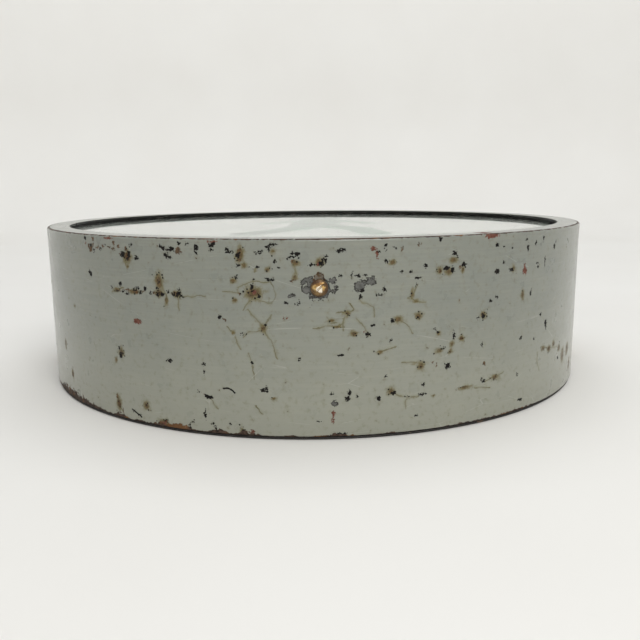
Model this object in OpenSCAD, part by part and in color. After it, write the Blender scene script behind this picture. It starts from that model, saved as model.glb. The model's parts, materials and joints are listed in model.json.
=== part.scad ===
// Round pedestrian signal light, lying on its back.
// +Z is the way the light shines and +Y is up for the figure. The origin is the centre of the back face.
// The cover hangs on a hinge at +Y and is held shut by two captive screws at -X and +X.

/* [Drum cover] */
// Outside diameter of the drum
drum_d = 340; // [330:5:350]
// Height of the whole light, from back face to front face
drum_h = 94; // [93:1:98]
// Thickness of the cover's sheet steel
sheet_t = 1.5; // [1.2:0.1:1.8]
// Width of the flat lip round the front
lip_w = 13; // [12:0.5:14]
// Outside radius of the bend between band and lip
bend_r = 1.4; // [1:0.1:1.4]

/* [Front pane] */
// Thickness of the rubber gasket between lip and glass
gasket_t = 1.5; // [1:0.1:2]
// Thickness of the clear front glass
glass_t = 4; // [3:0.5:4]
// Thickness of the coloured figure's film
film_t = 0.3; // [0.2:0.1:0.5]
// Thickness of the white diffuser
diffuser_t = 3; // [2:0.5:3]
// Gap round the panes, inside the band
pane_gap = 3; // [2:0.5:4]
// Height of the walking figure
figure_h = 200; // [160:10:220]

/* [Side screws] */
// How many screws hold the clamp hoop in the band
side_screws_n = 3; // [3:1:4]
// Distance of the screws behind the front face
side_screw_drop = 22; // [21:1:23]
// Thread diameter of the side screws
side_screw_d = 4; // [3.5:0.5:4]
// Diameter of the screws' round heads
side_head_d = 8; // [7:0.5:8]
// How far the adjusting slot reaches from the screw towards the front
side_slot_reach = 6.4; // [5:0.1:7]
// Height of the clamp hoop
hoop_h = 21.5; // [20:0.5:22]
// Thickness of the clamp hoop's steel
hoop_t = 1.5; // [1.5:0.1:2]

/* [Back] */
// Thickness of the back plate
plate_t = 1; // [1:0.1:1.2]
// Thickness of the rubber seal under the cover's edge
seal_t = 0.6; // [0.5:0.1:0.8]
// Height of the hoop that the cover drops over
rim_h = 36; // [30:1:38]
// Gap between that hoop and the cover
rim_gap = 3.5; // [3.5:0.1:4]
// Pitch circle of the four mounting holes
mount_pcd = 220; // [200:5:230]
// Diameter of a mounting hole
mount_hole_d = 7; // [6:0.5:8]
// Bore of the cable grommet
cable_bore_d = 11; // [8:1:12]

/* [Hinge] */
// Radius of the hinge's knuckles
knuckle_r = 4.5; // [4.5:0.1:4.8]
// Radius of the hinge pin
hinge_pin_r = 2; // [1.8:0.1:2.2]
// Length of the hinge
hinge_len = 60; // [56:2:64]
// Running clearance on radius
running_gap = 0.05; // [0.02:0.01:0.1]
// Thickness of the hinge leaves, straps and lugs
leaf_t = 1.5; // [1.5:0.1:1.6]

/* [Captive screws] */
// Diameter of a captive screw's shank
clamp_screw_d = 4.4; // [4:0.1:4.4]
// Diameter of its knurled head
clamp_head_d = 9; // [8:0.5:9]
// Height of its knurled head
clamp_head_h = 10; // [8:1:12]

/* [Reflector and lamps] */
// Height of the reflector's floor above the back face
reflector_z = 17; // [16:1:18]
// Radius of the reflector's flat floor
reflector_floor_r = 112; // [112:1:114]
// Radius of the reflector's mouth
reflector_r = 150; // [148:1:152]
// Height of the reflector's mouth above the back face
reflector_top = 50; // [46:1:52]
// Diameter of a lamp's glass
lamp_d = 45; // [40:1:45]
// Height of the lamps' axis above the back face
lamp_z = 48; // [47:1:50]
// Diameter of a porcelain lamp holder
holder_d = 38; // [36:1:40]
// Length of a porcelain lamp holder
holder_len = 38; // [38:1:39]
// Distance of the lamp brackets from the middle
bracket_x = 108; // [107:1:108]

/* [Terminal block] */
// Length of the terminal block
block_len = 44; // [42:1:50]
// Depth of the terminal block
block_depth = 22; // [20:1:24]
// Height of the terminal block
block_h = 14; // [13:1:16]
// Distance of the block's middle below the middle of the light
block_y = 88; // [86:1:90]
// Distance between two poles
pole_pitch = 11; // [10:1:11]

/* [Hidden] */
$fn = 96;

// Drum and pane stack, from the front backwards
drum_r = drum_d / 2;
band_in_r = drum_r - sheet_t;
band_z = plate_t + seal_t;
pane_r = band_in_r - pane_gap;
gasket_z = drum_h - sheet_t - gasket_t;
glass_z = gasket_z - glass_t;
film_z = glass_z - film_t;
diffuser_z = film_z - diffuser_t;
hoop_z = diffuser_z - hoop_h;
hoop_r = band_in_r - 0.1;
hoop_lip_in_r = pane_r - 10;
side_screw_z = drum_h - side_screw_drop;
// The photo shows the nearest screw a little right of the middle
side_screw_first = -89.3;
side_head_h = 2.4;
side_nut_af = 7;
side_nut_h = 3;
side_nut_gap = 0.1;

// Back plate and rim
plate_r = drum_r - 0.7;
rim_r = band_in_r - rim_gap;
rim_t = 1.2;
grommet_y = -100;
grommet_hole_r = 8;
grommet_lip = 3;
over = 1;

// Hinge at +Y, in its own numbers
hinge_y = drum_r + knuckle_r + 0.3;
hinge_z = plate_t + knuckle_r;
moving_knuckle = 28;
knuckle_gap = 0.5;
leaf_half = hinge_len / 2;
fixed_leaf_in = 34;
moving_leaf_top = 40;
moving_leaf_z = hinge_z + knuckle_r + 1;
rivet_r = 2;
rivet_head_r = 3.6;
rivet_head_h = 1.3;
rivet_tail_r = 2.6;
rivet_tail_h = 0.8;
rivet_fit = 0.1;
plate_rivet_y = 150;
plate_rivet_x = 20;
cover_rivet_angle = 6.2;
cover_rivet_z = 28;

// Captive screws at -X and +X
clamp_x = drum_r + clamp_head_d / 2 + 0.9;
lug_half = 7;
lug_z = 26;
lug_t = 2;
lug_foot_z = 12;
lug_rivet_z = 19;
lug_rivet_angle = 1.5;
strap_half = 7.5;
strap_in = 34;
strap_end_r = 5.4;
strap_nut_af = 8;
strap_nut_h = 4;
strap_nut_bore_r = 2.6;
clamp_tip_z = plate_t + 0.5;
clamp_head_gap = 0.3;
knurl_grooves = 18;
knurl_r = 0.35;
knurl_plain = 1.5;
clamp_slot_w = 1.2;
clamp_slot_depth = 2;
circlip_r = 3.3;
circlip_t = 0.8;
lug_bore_r = clamp_screw_d / 2 + running_gap;

// Reflector, lamps and their fittings
reflector_t = 1;
reflector_lip = 4;
pillar_r = 4;
pillar_at_r = 95;
pillar_angles = [90, 210, 330];
small_screw_r = 2;
small_head_r = 3.5;
small_head_h = 2;
floor_z = reflector_z + reflector_t;
bracket_t = 1.5;
bracket_half = 15;
bracket_foot = 26;
bracket_screw_y = 9;
bracket_screw_in = 20;
shell_r = 14;
shell_t = 0.7;
shell_len = 27;
cap_r = 13.1;
cap_len = 25;
cap_tip = 2;
cap_gap = 0.1;
contact_r = 4;
contact_t = 1.5;
holder_base = 8;
holder_screw_y = 12;
glass_wall = 0.8;
lead_hole_y = -66;
lead_hole_r = 6;
lead_grommet_lip = 2;
lead_grommet_t = 1.5;
earth_at = [45, -95];
earth_r = 3;
earth_h = 14;
earth_nut_af = 10;
earth_nut_h = 3.5;
earth_washer_r = 6;
earth_washer_t = 1;
earth_gap = 1;
block_screw_x = 18;
block_screw_head_r = 3;
pole_bore_r = 3.2;
pole_insert_r = 3.1;
pole_wire_r = 1.7;
pole_screw_r = 1.45;
pole_screw_h = 4.4;
pole_screw_hole_r = 2.4;
lead_r = 1.2;
lead_sides = 8;
lead_smooth = 2;
lead_in_x = 4;
lead_in_z = 6;
lead_in_depth = 8;
lead_in_gap = 0.5;
// Routes of the left lamp's two leads, from the terminal block to the lamp holder
LIVE_ROUTE = [
    [-11, -77, 25], [-11, -71, 25], [-20, -60, 22], [-44, -50, 19.8], [-74, -39, 19.8],
    [-92, -34, 21], [-102, -31, 30], [-104, -25, 40], [-104, -18, 42], [-104, -12, 42]
];
NEUTRAL_ROUTE = [
    [-1.8, -77, 25], [-2, -70, 25], [-12, -57, 22], [-40, -45, 19.8], [-72, -34, 19.8],
    [-90, -28, 21], [-100, -28, 32], [-104, -26, 46], [-104, -19, 54], [-104, -12, 54]
];

// ---- Helpers ----

module ring(r_out, r_in, h) {
    difference() {
        cylinder(r = r_out, h = h);
        translate([0, 0, -over]) cylinder(r = r_in, h = h + 2 * over);
    }
}

// A cylinder along +X, starting at x = 0
module rod_x(r, h) {
    rotate([0, 90, 0]) cylinder(r = r, h = h);
}

// A part of the ring outside the band, cut to a box, as a plate bent to the band
module bent_plate(width, z_low, z_high, t) {
    intersection() {
        translate([0, 0, z_low]) ring(drum_r + t, drum_r, z_high - z_low);
        translate([-width / 2, 0, z_low]) cube([width, 2 * drum_r, z_high - z_low]);
    }
}

// Turns what is drawn at +X to the same place at -X
module side(name) {
    if (name == "left") mirror([1, 0, 0]) children();
    else children();
}

// A round-head screw pointing down, with its head on z = 0
module pan_screw(shank_r, length, head_r, head_h, slot_w = 1) {
    difference() {
        union() {
            cylinder(r = head_r, h = head_h * 0.4);
            intersection() {
                cap_sphere_r = (head_r * head_r + head_h * head_h) / (2 * head_h);
                translate([0, 0, head_h - cap_sphere_r]) sphere(r = cap_sphere_r);
                cylinder(r = head_r, h = head_h);
            }
            translate([0, 0, -length]) cylinder(r = shank_r, h = length);
        }
        translate([-head_r - over, -slot_w / 2, head_h * 0.5]) cube([2 * (head_r + over), slot_w, head_h]);
    }
}

// A hexagon nut standing on z = 0
module hex_nut(af, h, bore_r) {
    difference() {
        cylinder(d = af / cos(30), h = h, $fn = 6);
        translate([0, 0, -over]) cylinder(r = bore_r, h = h + 2 * over);
    }
}

module each_side_screw() {
    for (i = [0 : side_screws_n - 1])
        rotate([0, 0, side_screw_first + i * 360 / side_screws_n])
            translate([0, 0, side_screw_z])
                children();
}

module each_pillar() {
    for (a = pillar_angles)
        rotate([0, 0, a]) translate([pillar_at_r, 0, 0]) children();
}

module each_plate_rivet() {
    for (x = [-plate_rivet_x, plate_rivet_x])
        translate([x, plate_rivet_y, 0]) children();
    for (s = [-1, 1])
        translate([s * plate_rivet_y, 0, 0]) children();
}

module each_cover_rivet() {
    for (a = [-1, 1])
        rotate([0, 0, 90 + a * cover_rivet_angle]) translate([0, 0, cover_rivet_z]) children();
    for (base = [0, 180], a = [-1, 1])
        rotate([0, 0, base + a * lug_rivet_angle]) translate([0, 0, lug_rivet_z]) children();
}

// ---- Back ----

module back_plate() {
    color("#2b2a28") difference() {
        cylinder(r = plate_r, h = plate_t);
        for (a = [45 : 90 : 315])
            rotate([0, 0, a]) translate([mount_pcd / 2, 0, -over]) cylinder(d = mount_hole_d, h = 4 * over);
        translate([0, grommet_y, -over]) cylinder(r = grommet_hole_r, h = 4 * over);
        each_plate_rivet() translate([0, 0, -over]) cylinder(r = rivet_r, h = 4 * over);
        each_pillar() translate([0, 0, -over]) cylinder(r = small_screw_r, h = 4 * over);
        translate([earth_at[0], earth_at[1], -over]) cylinder(r = earth_r, h = 4 * over);
    }
}

module rim_hoop() {
    color("#8f9087") difference() {
        translate([0, 0, plate_t]) ring(rim_r, rim_r - rim_t, rim_h);
        translate([-leaf_half - over, 0, 0]) cube([hinge_len + 2 * over, drum_r, plate_t + leaf_t + 0.3]);
        translate([-drum_r, -strap_half - over, 0])
            cube([drum_d, 2 * (strap_half + over), plate_t + leaf_t + 0.3]);
    }
}

module edge_seal() {
    color("#1a1a1a") difference() {
        translate([0, 0, plate_t]) ring(plate_r, rim_r + 0.3, seal_t);
        translate([-leaf_half - over, 0, 0]) cube([hinge_len + 2 * over, drum_r, 3 * over]);
        translate([-drum_r, -strap_half - over, 0]) cube([drum_d, 2 * (strap_half + over), 3 * over]);
    }
}

module cable_grommet() {
    color("#202020") translate([0, grommet_y, 0]) difference() {
        union() {
            cylinder(r = grommet_hole_r, h = plate_t + grommet_lip);
            translate([0, 0, plate_t]) cylinder(r = grommet_hole_r + grommet_lip, h = grommet_lip);
        }
        translate([0, 0, -over]) cylinder(d = cable_bore_d, h = plate_t + grommet_lip + 2 * over);
    }
}

module earth_stud() {
    color("#b59a52") translate([earth_at[0], earth_at[1], 0]) cylinder(r = earth_r, h = earth_h);
}

module earth_nuts() {
    color("#b59a52") translate([earth_at[0], earth_at[1], 0]) {
        translate([0, 0, plate_t]) hex_nut(earth_nut_af, earth_nut_h, earth_r);
        translate([0, 0, plate_t + earth_nut_h + 2 * earth_washer_t + earth_gap])
            hex_nut(earth_nut_af, earth_nut_h, earth_r);
    }
}

module earth_washers() {
    color("#c9b36a") translate([earth_at[0], earth_at[1], plate_t + earth_nut_h]) {
        ring(earth_washer_r, earth_r, earth_washer_t);
        translate([0, 0, earth_washer_t + earth_gap]) ring(earth_washer_r, earth_r, earth_washer_t);
    }
}

// ---- Hinge ----

module fixed_knuckle(s) {
    len = (hinge_len - moving_knuckle) / 2 - knuckle_gap;
    start = s > 0 ? moving_knuckle / 2 + knuckle_gap : -leaf_half;
    translate([start, hinge_y, hinge_z]) rod_x(knuckle_r, len);
}

module hinge_fixed_leaf() {
    relief = moving_knuckle + 2 * knuckle_gap;
    color("#84857c") difference() {
        union() {
            translate([-leaf_half, drum_r - fixed_leaf_in, plate_t])
                cube([hinge_len, hinge_y - drum_r + fixed_leaf_in, leaf_t]);
            fixed_knuckle(-1);
            fixed_knuckle(1);
        }
        translate([-relief / 2, drum_r, -over]) cube([relief, 3 * knuckle_r, 4 * knuckle_r]);
        translate([-leaf_half - over, hinge_y, hinge_z])
            rod_x(hinge_pin_r + running_gap, hinge_len + 2 * over);
        each_plate_rivet() cylinder(r = rivet_r, h = 4 * leaf_t);
    }
}

module hinge_moving_leaf() {
    tongue = moving_knuckle;
    color("#8b8c83") difference() {
        union() {
            translate([-tongue / 2, hinge_y, hinge_z]) rod_x(knuckle_r, tongue);
            translate([-tongue / 2, drum_r - 2 * sheet_t, hinge_z])
                cube([tongue, 2 * sheet_t + 2.4, moving_leaf_z - hinge_z]);
            bent_plate(hinge_len - 4, moving_leaf_z, moving_leaf_top, leaf_t);
        }
        cylinder(r = drum_r, h = drum_h);
        translate([-leaf_half, hinge_y, hinge_z]) rod_x(hinge_pin_r + running_gap, hinge_len);
        each_cover_rivet() rod_x(rivet_r, drum_d);
    }
}

module hinge_pin() {
    head = 1.2;
    color("#9a9a96") translate([-leaf_half - head, hinge_y, hinge_z]) {
        rod_x(hinge_pin_r, hinge_len + 2 * head);
        rod_x(hinge_pin_r + 1, head);
        translate([hinge_len + head, 0, 0]) rod_x(hinge_pin_r + 1, head);
    }
}

module plate_rivets() {
    color("#84857c") each_plate_rivet() {
        cylinder(r = rivet_r, h = plate_t + leaf_t + rivet_fit);
        translate([0, 0, plate_t + leaf_t]) pan_rivet_head();
    }
}

module pan_rivet_head() {
    cap_r = (rivet_head_r * rivet_head_r + rivet_head_h * rivet_head_h) / (2 * rivet_head_h);
    intersection() {
        translate([0, 0, rivet_head_h - cap_r]) sphere(r = cap_r);
        cylinder(r = rivet_head_r, h = rivet_head_h);
    }
}

module cover_rivets() {
    color("#8b8c83") each_cover_rivet() {
        translate([band_in_r - rivet_tail_h, 0, 0]) rod_x(rivet_tail_r, rivet_tail_h);
        translate([band_in_r - rivet_fit, 0, 0]) rod_x(rivet_r, sheet_t + leaf_t + 2 * rivet_fit);
        translate([drum_r + leaf_t, 0, 0]) rotate([0, 90, 0]) pan_rivet_head();
    }
}

// ---- Captive screws ----

module clamp_strap() {
    color("#84857c") difference() {
        union() {
            translate([drum_r - strap_in, -strap_half, plate_t])
                cube([strap_in, 2 * strap_half, leaf_t]);
            translate([drum_r - over, -strap_end_r, plate_t])
                cube([clamp_x - drum_r + over, 2 * strap_end_r, leaf_t]);
            translate([clamp_x, 0, plate_t]) cylinder(r = strap_end_r, h = leaf_t);
        }
        translate([clamp_x, 0, 0]) cylinder(r = strap_nut_bore_r, h = 4 * leaf_t);
        translate([plate_rivet_y, 0, 0]) cylinder(r = rivet_r, h = 4 * leaf_t);
    }
}

module strap_nuts() {
    color("#b59a52") for (name = ["left", "right"])
        side(name) translate([clamp_x, 0, plate_t + leaf_t])
            hex_nut(strap_nut_af, strap_nut_h, strap_nut_bore_r);
}

module cover_lug() {
    color("#8b8c83") difference() {
        union() {
            rotate([0, 0, -90]) bent_plate(2 * lug_half, lug_foot_z, lug_z + lug_t, leaf_t);
            translate([drum_r - sheet_t, -strap_end_r, lug_z])
                cube([clamp_x - drum_r + sheet_t, 2 * strap_end_r, lug_t]);
            translate([clamp_x, 0, lug_z]) cylinder(r = strap_end_r, h = lug_t);
        }
        cylinder(r = drum_r, h = drum_h);
        translate([clamp_x, 0, 0]) cylinder(r = lug_bore_r, h = drum_h);
        each_cover_rivet() rod_x(rivet_r, drum_d);
    }
}

module clamp_screw() {
    head_z = lug_z + lug_t + clamp_head_gap;
    head_top = head_z + clamp_head_h;
    color("#b08d4a") translate([clamp_x, 0, 0]) difference() {
        union() {
            translate([0, 0, head_z]) cylinder(d = clamp_head_d, h = clamp_head_h);
            translate([0, 0, clamp_tip_z]) cylinder(d = clamp_screw_d, h = head_z - clamp_tip_z + over);
        }
        for (i = [0 : knurl_grooves - 1])
            rotate([0, 0, i * 360 / knurl_grooves])
                translate([clamp_head_d / 2, 0, head_z + knurl_plain])
                    cylinder(r = knurl_r, h = clamp_head_h, $fn = 16);
        translate([-clamp_head_d, -clamp_slot_w / 2, head_top - clamp_slot_depth])
            cube([2 * clamp_head_d, clamp_slot_w, clamp_slot_depth + over]);
    }
}

module circlip() {
    color("#6f6f6c") translate([clamp_x, 0, lug_z - circlip_t - clamp_head_gap])
        ring(circlip_r, clamp_screw_d / 2, circlip_t);
}

// ---- Reflector ----

// Outline of the dish, with its rolled mouth
module dish_outline() {
    lip_r = reflector_r + reflector_lip;
    lip_z = reflector_top + reflector_t;
    polygon([
        [0, reflector_z], [reflector_floor_r, reflector_z], [reflector_r, reflector_top],
        [lip_r, reflector_top], [lip_r, lip_z], [reflector_r - reflector_t / 2, lip_z],
        [reflector_floor_r - reflector_t / 2, floor_z], [0, floor_z]
    ]);
}

module each_bracket_screw() {
    for (s = [-1, 1], y = [-1, 1])
        translate([s * (bracket_x - bracket_screw_in), y * bracket_screw_y, 0]) children();
}

module each_block_screw() {
    for (s = [-1, 1])
        translate([s * block_screw_x, -block_y, 0]) children();
}

module reflector() {
    color("#f2f0ea") difference() {
        rotate_extrude() dish_outline();
        each_pillar() translate([0, 0, reflector_z - over]) cylinder(r = small_screw_r, h = 3 * over);
        each_bracket_screw() translate([0, 0, reflector_z - over])
            cylinder(r = small_screw_r, h = 3 * over);
        each_block_screw() translate([0, 0, reflector_z - over]) cylinder(r = small_screw_r, h = 3 * over);
        translate([0, lead_hole_y, reflector_z - over]) cylinder(r = lead_hole_r, h = 3 * over);
    }
}

module reflector_pillars() {
    color("#a8a49a") each_pillar() {
        difference() {
            translate([0, 0, plate_t]) cylinder(r = pillar_r, h = reflector_z - plate_t);
            cylinder(r = small_screw_r, h = reflector_z + over);
        }
        cylinder(r = small_screw_r, h = plate_t + 4);
    }
}

module reflector_screws() {
    color("#b59a52") each_pillar()
        translate([0, 0, floor_z]) pan_screw(small_screw_r - running_gap, 9, small_head_r, small_head_h);
}

module lead_grommet() {
    color("#202020") translate([0, lead_hole_y, 0]) difference() {
        union() {
            translate([0, 0, reflector_z]) cylinder(r = lead_hole_r, h = reflector_t);
            for (z = [floor_z, reflector_z - lead_grommet_t])
                translate([0, 0, z]) cylinder(r = lead_hole_r + lead_grommet_lip, h = lead_grommet_t);
        }
        translate([0, 0, reflector_z - 2 * over])
            cylinder(r = lead_hole_r - lead_grommet_lip, h = 6 * over);
    }
}

// ---- Lamps, drawn at +X ----

module lamp_bracket() {
    color("#b9b6ac") difference() {
        union() {
            translate([bracket_x - bracket_foot, -bracket_half, floor_z])
                cube([bracket_foot + bracket_t, 2 * bracket_half, bracket_t]);
            translate([bracket_x, -bracket_half, floor_z])
                cube([bracket_t, 2 * bracket_half, lamp_z + holder_d / 2 - floor_z]);
        }
        each_bracket_screw() cylinder(r = small_screw_r, h = lamp_z / 2);
        for (s = [-1, 1])
            translate([bracket_x - over, s * holder_screw_y, lamp_z]) rod_x(small_screw_r, 4 * over);
    }
}

module bracket_screws() {
    color("#b59a52") each_bracket_screw()
        translate([0, 0, floor_z + bracket_t])
            pan_screw(small_screw_r - running_gap, 5, small_head_r, small_head_h);
}

module lamp_holder() {
    inner_x = bracket_x - holder_len;
    color("#efebe2") difference() {
        translate([inner_x, 0, lamp_z]) rod_x(holder_d / 2, holder_len);
        translate([inner_x - over, 0, lamp_z]) rod_x(shell_r + 0.1, holder_len - holder_base + over);
        for (s = [-1, 1]) {
            translate([bracket_x - 6, s * holder_screw_y, lamp_z]) rod_x(small_screw_r, 7);
            translate([bracket_x - lead_in_x, -holder_d / 2 + lead_in_depth, lamp_z + s * lead_in_z])
                rotate([90, 0, 0]) cylinder(r = lead_r + lead_in_gap, h = holder_d);
        }
    }
}

module holder_screws() {
    color("#b59a52") for (name = ["left", "right"], s = [-1, 1])
        side(name) translate([bracket_x + bracket_t, s * holder_screw_y, lamp_z])
            rotate([0, 90, 0]) pan_screw(small_screw_r - running_gap, 6.5, small_head_r, small_head_h);
}

module holder_shell() {
    color("#b08d4a") translate([bracket_x - holder_base - shell_len - 1, 0, lamp_z]) difference() {
        rod_x(shell_r, shell_len);
        translate([-over, 0, 0]) rod_x(shell_r - shell_t, shell_len + 2 * over);
    }
}

module holder_contacts() {
    color("#b08d4a") for (name = ["left", "right"])
        side(name) translate([bracket_x - holder_base - contact_t, 0, lamp_z]) rod_x(contact_r, contact_t);
}

module lamp_cap() {
    end_x = bracket_x - holder_base - contact_t - cap_gap;
    color("#c9c4b4") {
        translate([end_x - cap_tip - cap_len, 0, lamp_z]) rod_x(cap_r, cap_len);
        translate([end_x - cap_tip - over, 0, lamp_z]) rod_x(contact_r, cap_tip + over);
    }
}

module lamp_glass() {
    neck_x = bracket_x - holder_base - contact_t - cap_gap - cap_tip - cap_len;
    color("#f4efe2") translate([neck_x, 0, lamp_z]) rotate([0, -90, 0]) rotate_extrude() glass_outline();
}

// Outline of a bulb of blown glass, standing on its neck: x is the radius and y the height
module glass_outline() {
    r = lamp_d / 2;
    neck = cap_r - 1.2;
    shoulder = 48;
    steps = 24;
    bulb_y = neck * 0.3 + r * 1.25;
    turns = [for (i = [0 : steps]) -shoulder + i * (90 + shoulder) / steps];
    outer = [for (a = turns) [r * cos(a), bulb_y + r * sin(a)]];
    inner_r = r - glass_wall;
    inner = [for (i = [steps : -1 : 0]) [inner_r * cos(turns[i]), bulb_y + inner_r * sin(turns[i])]];
    polygon(concat([[neck, 0]], outer, inner, [[neck - glass_wall, 0]]));
}

// ---- Terminal block ----

module each_pole() {
    for (i = [-1 : 1])
        translate([i * pole_pitch, -block_y, floor_z + block_h / 2]) children();
}

// The two clamping screws of each pole
module each_pole_screw() {
    each_pole() for (s = [-1, 1])
        translate([0, s * block_depth / 4, 0]) children();
}

module terminal_block() {
    color("#3a2a22") difference() {
        translate([-block_len / 2, -block_y - block_depth / 2, floor_z])
            cube([block_len, block_depth, block_h]);
        each_pole() rotate([90, 0, 0]) cylinder(r = pole_bore_r, h = block_depth + 2 * over, center = true);
        each_pole_screw() cylinder(r = pole_screw_hole_r, h = block_h);
        each_block_screw() translate([0, 0, floor_z - over]) cylinder(r = small_screw_r, h = 2 * block_h);
    }
}

module terminal_inserts() {
    color("#b08d4a") difference() {
        each_pole() rotate([90, 0, 0]) cylinder(r = pole_insert_r, h = block_depth - 2, center = true);
        each_pole() rotate([90, 0, 0]) cylinder(r = pole_wire_r, h = block_depth, center = true);
        each_pole_screw() cylinder(r = pole_screw_r + running_gap, h = block_h);
    }
}

module terminal_screws() {
    slot_w = 0.6;
    slot_depth = 0.8;
    color("#c9c4b4") each_pole_screw() translate([0, 0, pole_wire_r + 0.2]) difference() {
        cylinder(r = pole_screw_r, h = pole_screw_h);
        translate([-pole_bore_r, -slot_w / 2, pole_screw_h - slot_depth])
            cube([2 * pole_bore_r, slot_w, 2 * over]);
    }
}

module block_screws() {
    color("#b59a52") each_block_screw()
        translate([0, 0, floor_z + block_h])
            pan_screw(small_screw_r - running_gap, block_h + 4, block_screw_head_r, small_head_h);
}

// ---- Leads: a tube swept along a smooth route ----

function catmull(p, i, t) =
    let (a = p[max(i - 1, 0)], b = p[i], c = p[i + 1], d = p[min(i + 2, len(p) - 1)])
    0.5 * (2 * b + (c - a) * t + (2 * a - 5 * b + 4 * c - d) * t * t + (3 * b - a - 3 * c + d) * t * t * t);

function smooth(p, steps) =
    concat([for (i = [0 : len(p) - 2], k = [0 : steps - 1]) catmull(p, i, k / steps)], [p[len(p) - 1]]);

function unit(v) = v / norm(v);

// One ring of points round p, square to the direction d
function ring_points(p, d, r, n) =
    let (u = unit(cross(d, [0.31, 0.17, 1])), v = cross(unit(d), u))
    [for (k = [0 : n - 1]) p + r * (cos(k * 360 / n) * u + sin(k * 360 / n) * v)];

module swept_tube(route, r, n) {
    last = len(route) - 1;
    points = [for (i = [0 : last])
        each ring_points(route[i], route[min(i + 1, last)] - route[max(i - 1, 0)], r, n)];
    walls = [for (i = [0 : last - 1], k = [0 : n - 1])
        [i * n + k, i * n + (k + 1) % n, (i + 1) * n + (k + 1) % n, (i + 1) * n + k]];
    ends = [[for (k = [n - 1 : -1 : 0]) k], [for (k = [0 : n - 1]) last * n + k]];
    polyhedron(points = points, faces = concat(walls, ends));
}

// Both leads of the left lamp
module lamp_leads() {
    color("#4a4038") for (route = [LIVE_ROUTE, NEUTRAL_ROUTE])
        swept_tube(smooth(route, lead_smooth), lead_r, lead_sides);
}

// ---- Cover ----

// Half section of the cover: a band with a rounded bend into its lip
module cover_outline() {
    bend_at = [drum_r - bend_r, drum_h - bend_r];
    difference() {
        union() {
            translate([band_in_r, band_z]) square([sheet_t, drum_h - band_z - bend_r]);
            translate([drum_r - lip_w, drum_h - sheet_t]) square([lip_w - bend_r, sheet_t]);
            translate([band_in_r, drum_h - sheet_t]) square([sheet_t - bend_r, sheet_t - bend_r]);
            translate(bend_at) circle(r = bend_r);
        }
        translate([0, drum_h - sheet_t - drum_h]) square([band_in_r, drum_h]);
    }
}

module drum_cover() {
    notch_top = plate_t + 2 * leaf_t;
    color("#8f8f86") difference() {
        rotate_extrude($fn = 180) cover_outline();
        each_side_screw() {
            rod_x(side_screw_d / 2 + 0.1, drum_d);
            translate([0, 0, side_slot_reach - side_screw_d / 2]) rod_x(side_screw_d / 2, drum_d);
            translate([0, -side_screw_d / 2, 0])
                cube([drum_d, side_screw_d, side_slot_reach - side_screw_d / 2]);
        }
        each_cover_rivet() rod_x(rivet_r, drum_d);
        translate([-leaf_half - over, 0, 0]) cube([hinge_len + 2 * over, drum_d, notch_top]);
        translate([-drum_d, -strap_half - over, 0]) cube([2 * drum_d, 2 * (strap_half + over), notch_top]);
    }
}

module front_gasket() {
    color("#161616") translate([0, 0, gasket_z]) ring(pane_r, drum_r - lip_w + 0.3, gasket_t);
}

module front_glass() {
    color([0.85, 0.9, 0.9, 0.5]) translate([0, 0, glass_z]) cylinder(r = pane_r, h = glass_t, $fn = 180);
}

module opal_diffuser() {
    color("#f5f4ef") translate([0, 0, diffuser_z]) cylinder(r = pane_r, h = diffuser_t, $fn = 180);
}

// A limb of the figure: a bar with round ends
module limb(from, to, w) {
    hull() {
        translate(from) circle(d = w, $fn = 32);
        translate(to) circle(d = w, $fn = 32);
    }
}

// A plain walking figure, one unit high, with its middle at the origin
module walking_figure() {
    hip = [0, -0.02];
    shoulder = [0.02, 0.25];
    translate([0.03, 0.41]) circle(d = 0.15, $fn = 48);
    limb(shoulder, hip, 0.17);
    limb(hip, [0.13, -0.23], 0.11);
    limb([0.13, -0.23], [0.17, -0.45], 0.09);
    limb(hip, [-0.07, -0.24], 0.11);
    limb([-0.07, -0.24], [-0.19, -0.44], 0.09);
    limb([0.07, 0.27], [0.19, 0.06], 0.065);
    limb([-0.03, 0.27], [-0.17, 0.08], 0.065);
}

module figure_film() {
    color("#1f6b47") translate([0, 0, film_z])
        linear_extrude(film_t) scale(figure_h) walking_figure();
}

module clamp_hoop() {
    color("#77776f") difference() {
        union() {
            translate([0, 0, hoop_z]) ring(hoop_r, hoop_r - hoop_t, hoop_h);
            translate([0, 0, diffuser_z - hoop_t]) ring(hoop_r, hoop_lip_in_r, hoop_t);
        }
        each_side_screw() rod_x(side_screw_d / 2, drum_d);
    }
}

module hoop_nuts() {
    color("#8d8d88") each_side_screw()
        translate([hoop_r - hoop_t - side_nut_gap - side_nut_h, 0, 0]) rotate([0, 90, 0])
            hex_nut(side_nut_af, side_nut_h, side_screw_d / 2);
}

module side_screws() {
    color("#a98f5e") each_side_screw()
        translate([drum_r, 0, 0]) rotate([0, 90, 0])
            pan_screw(side_screw_d / 2 - running_gap, 8, side_head_d / 2, side_head_h);
}

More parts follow.
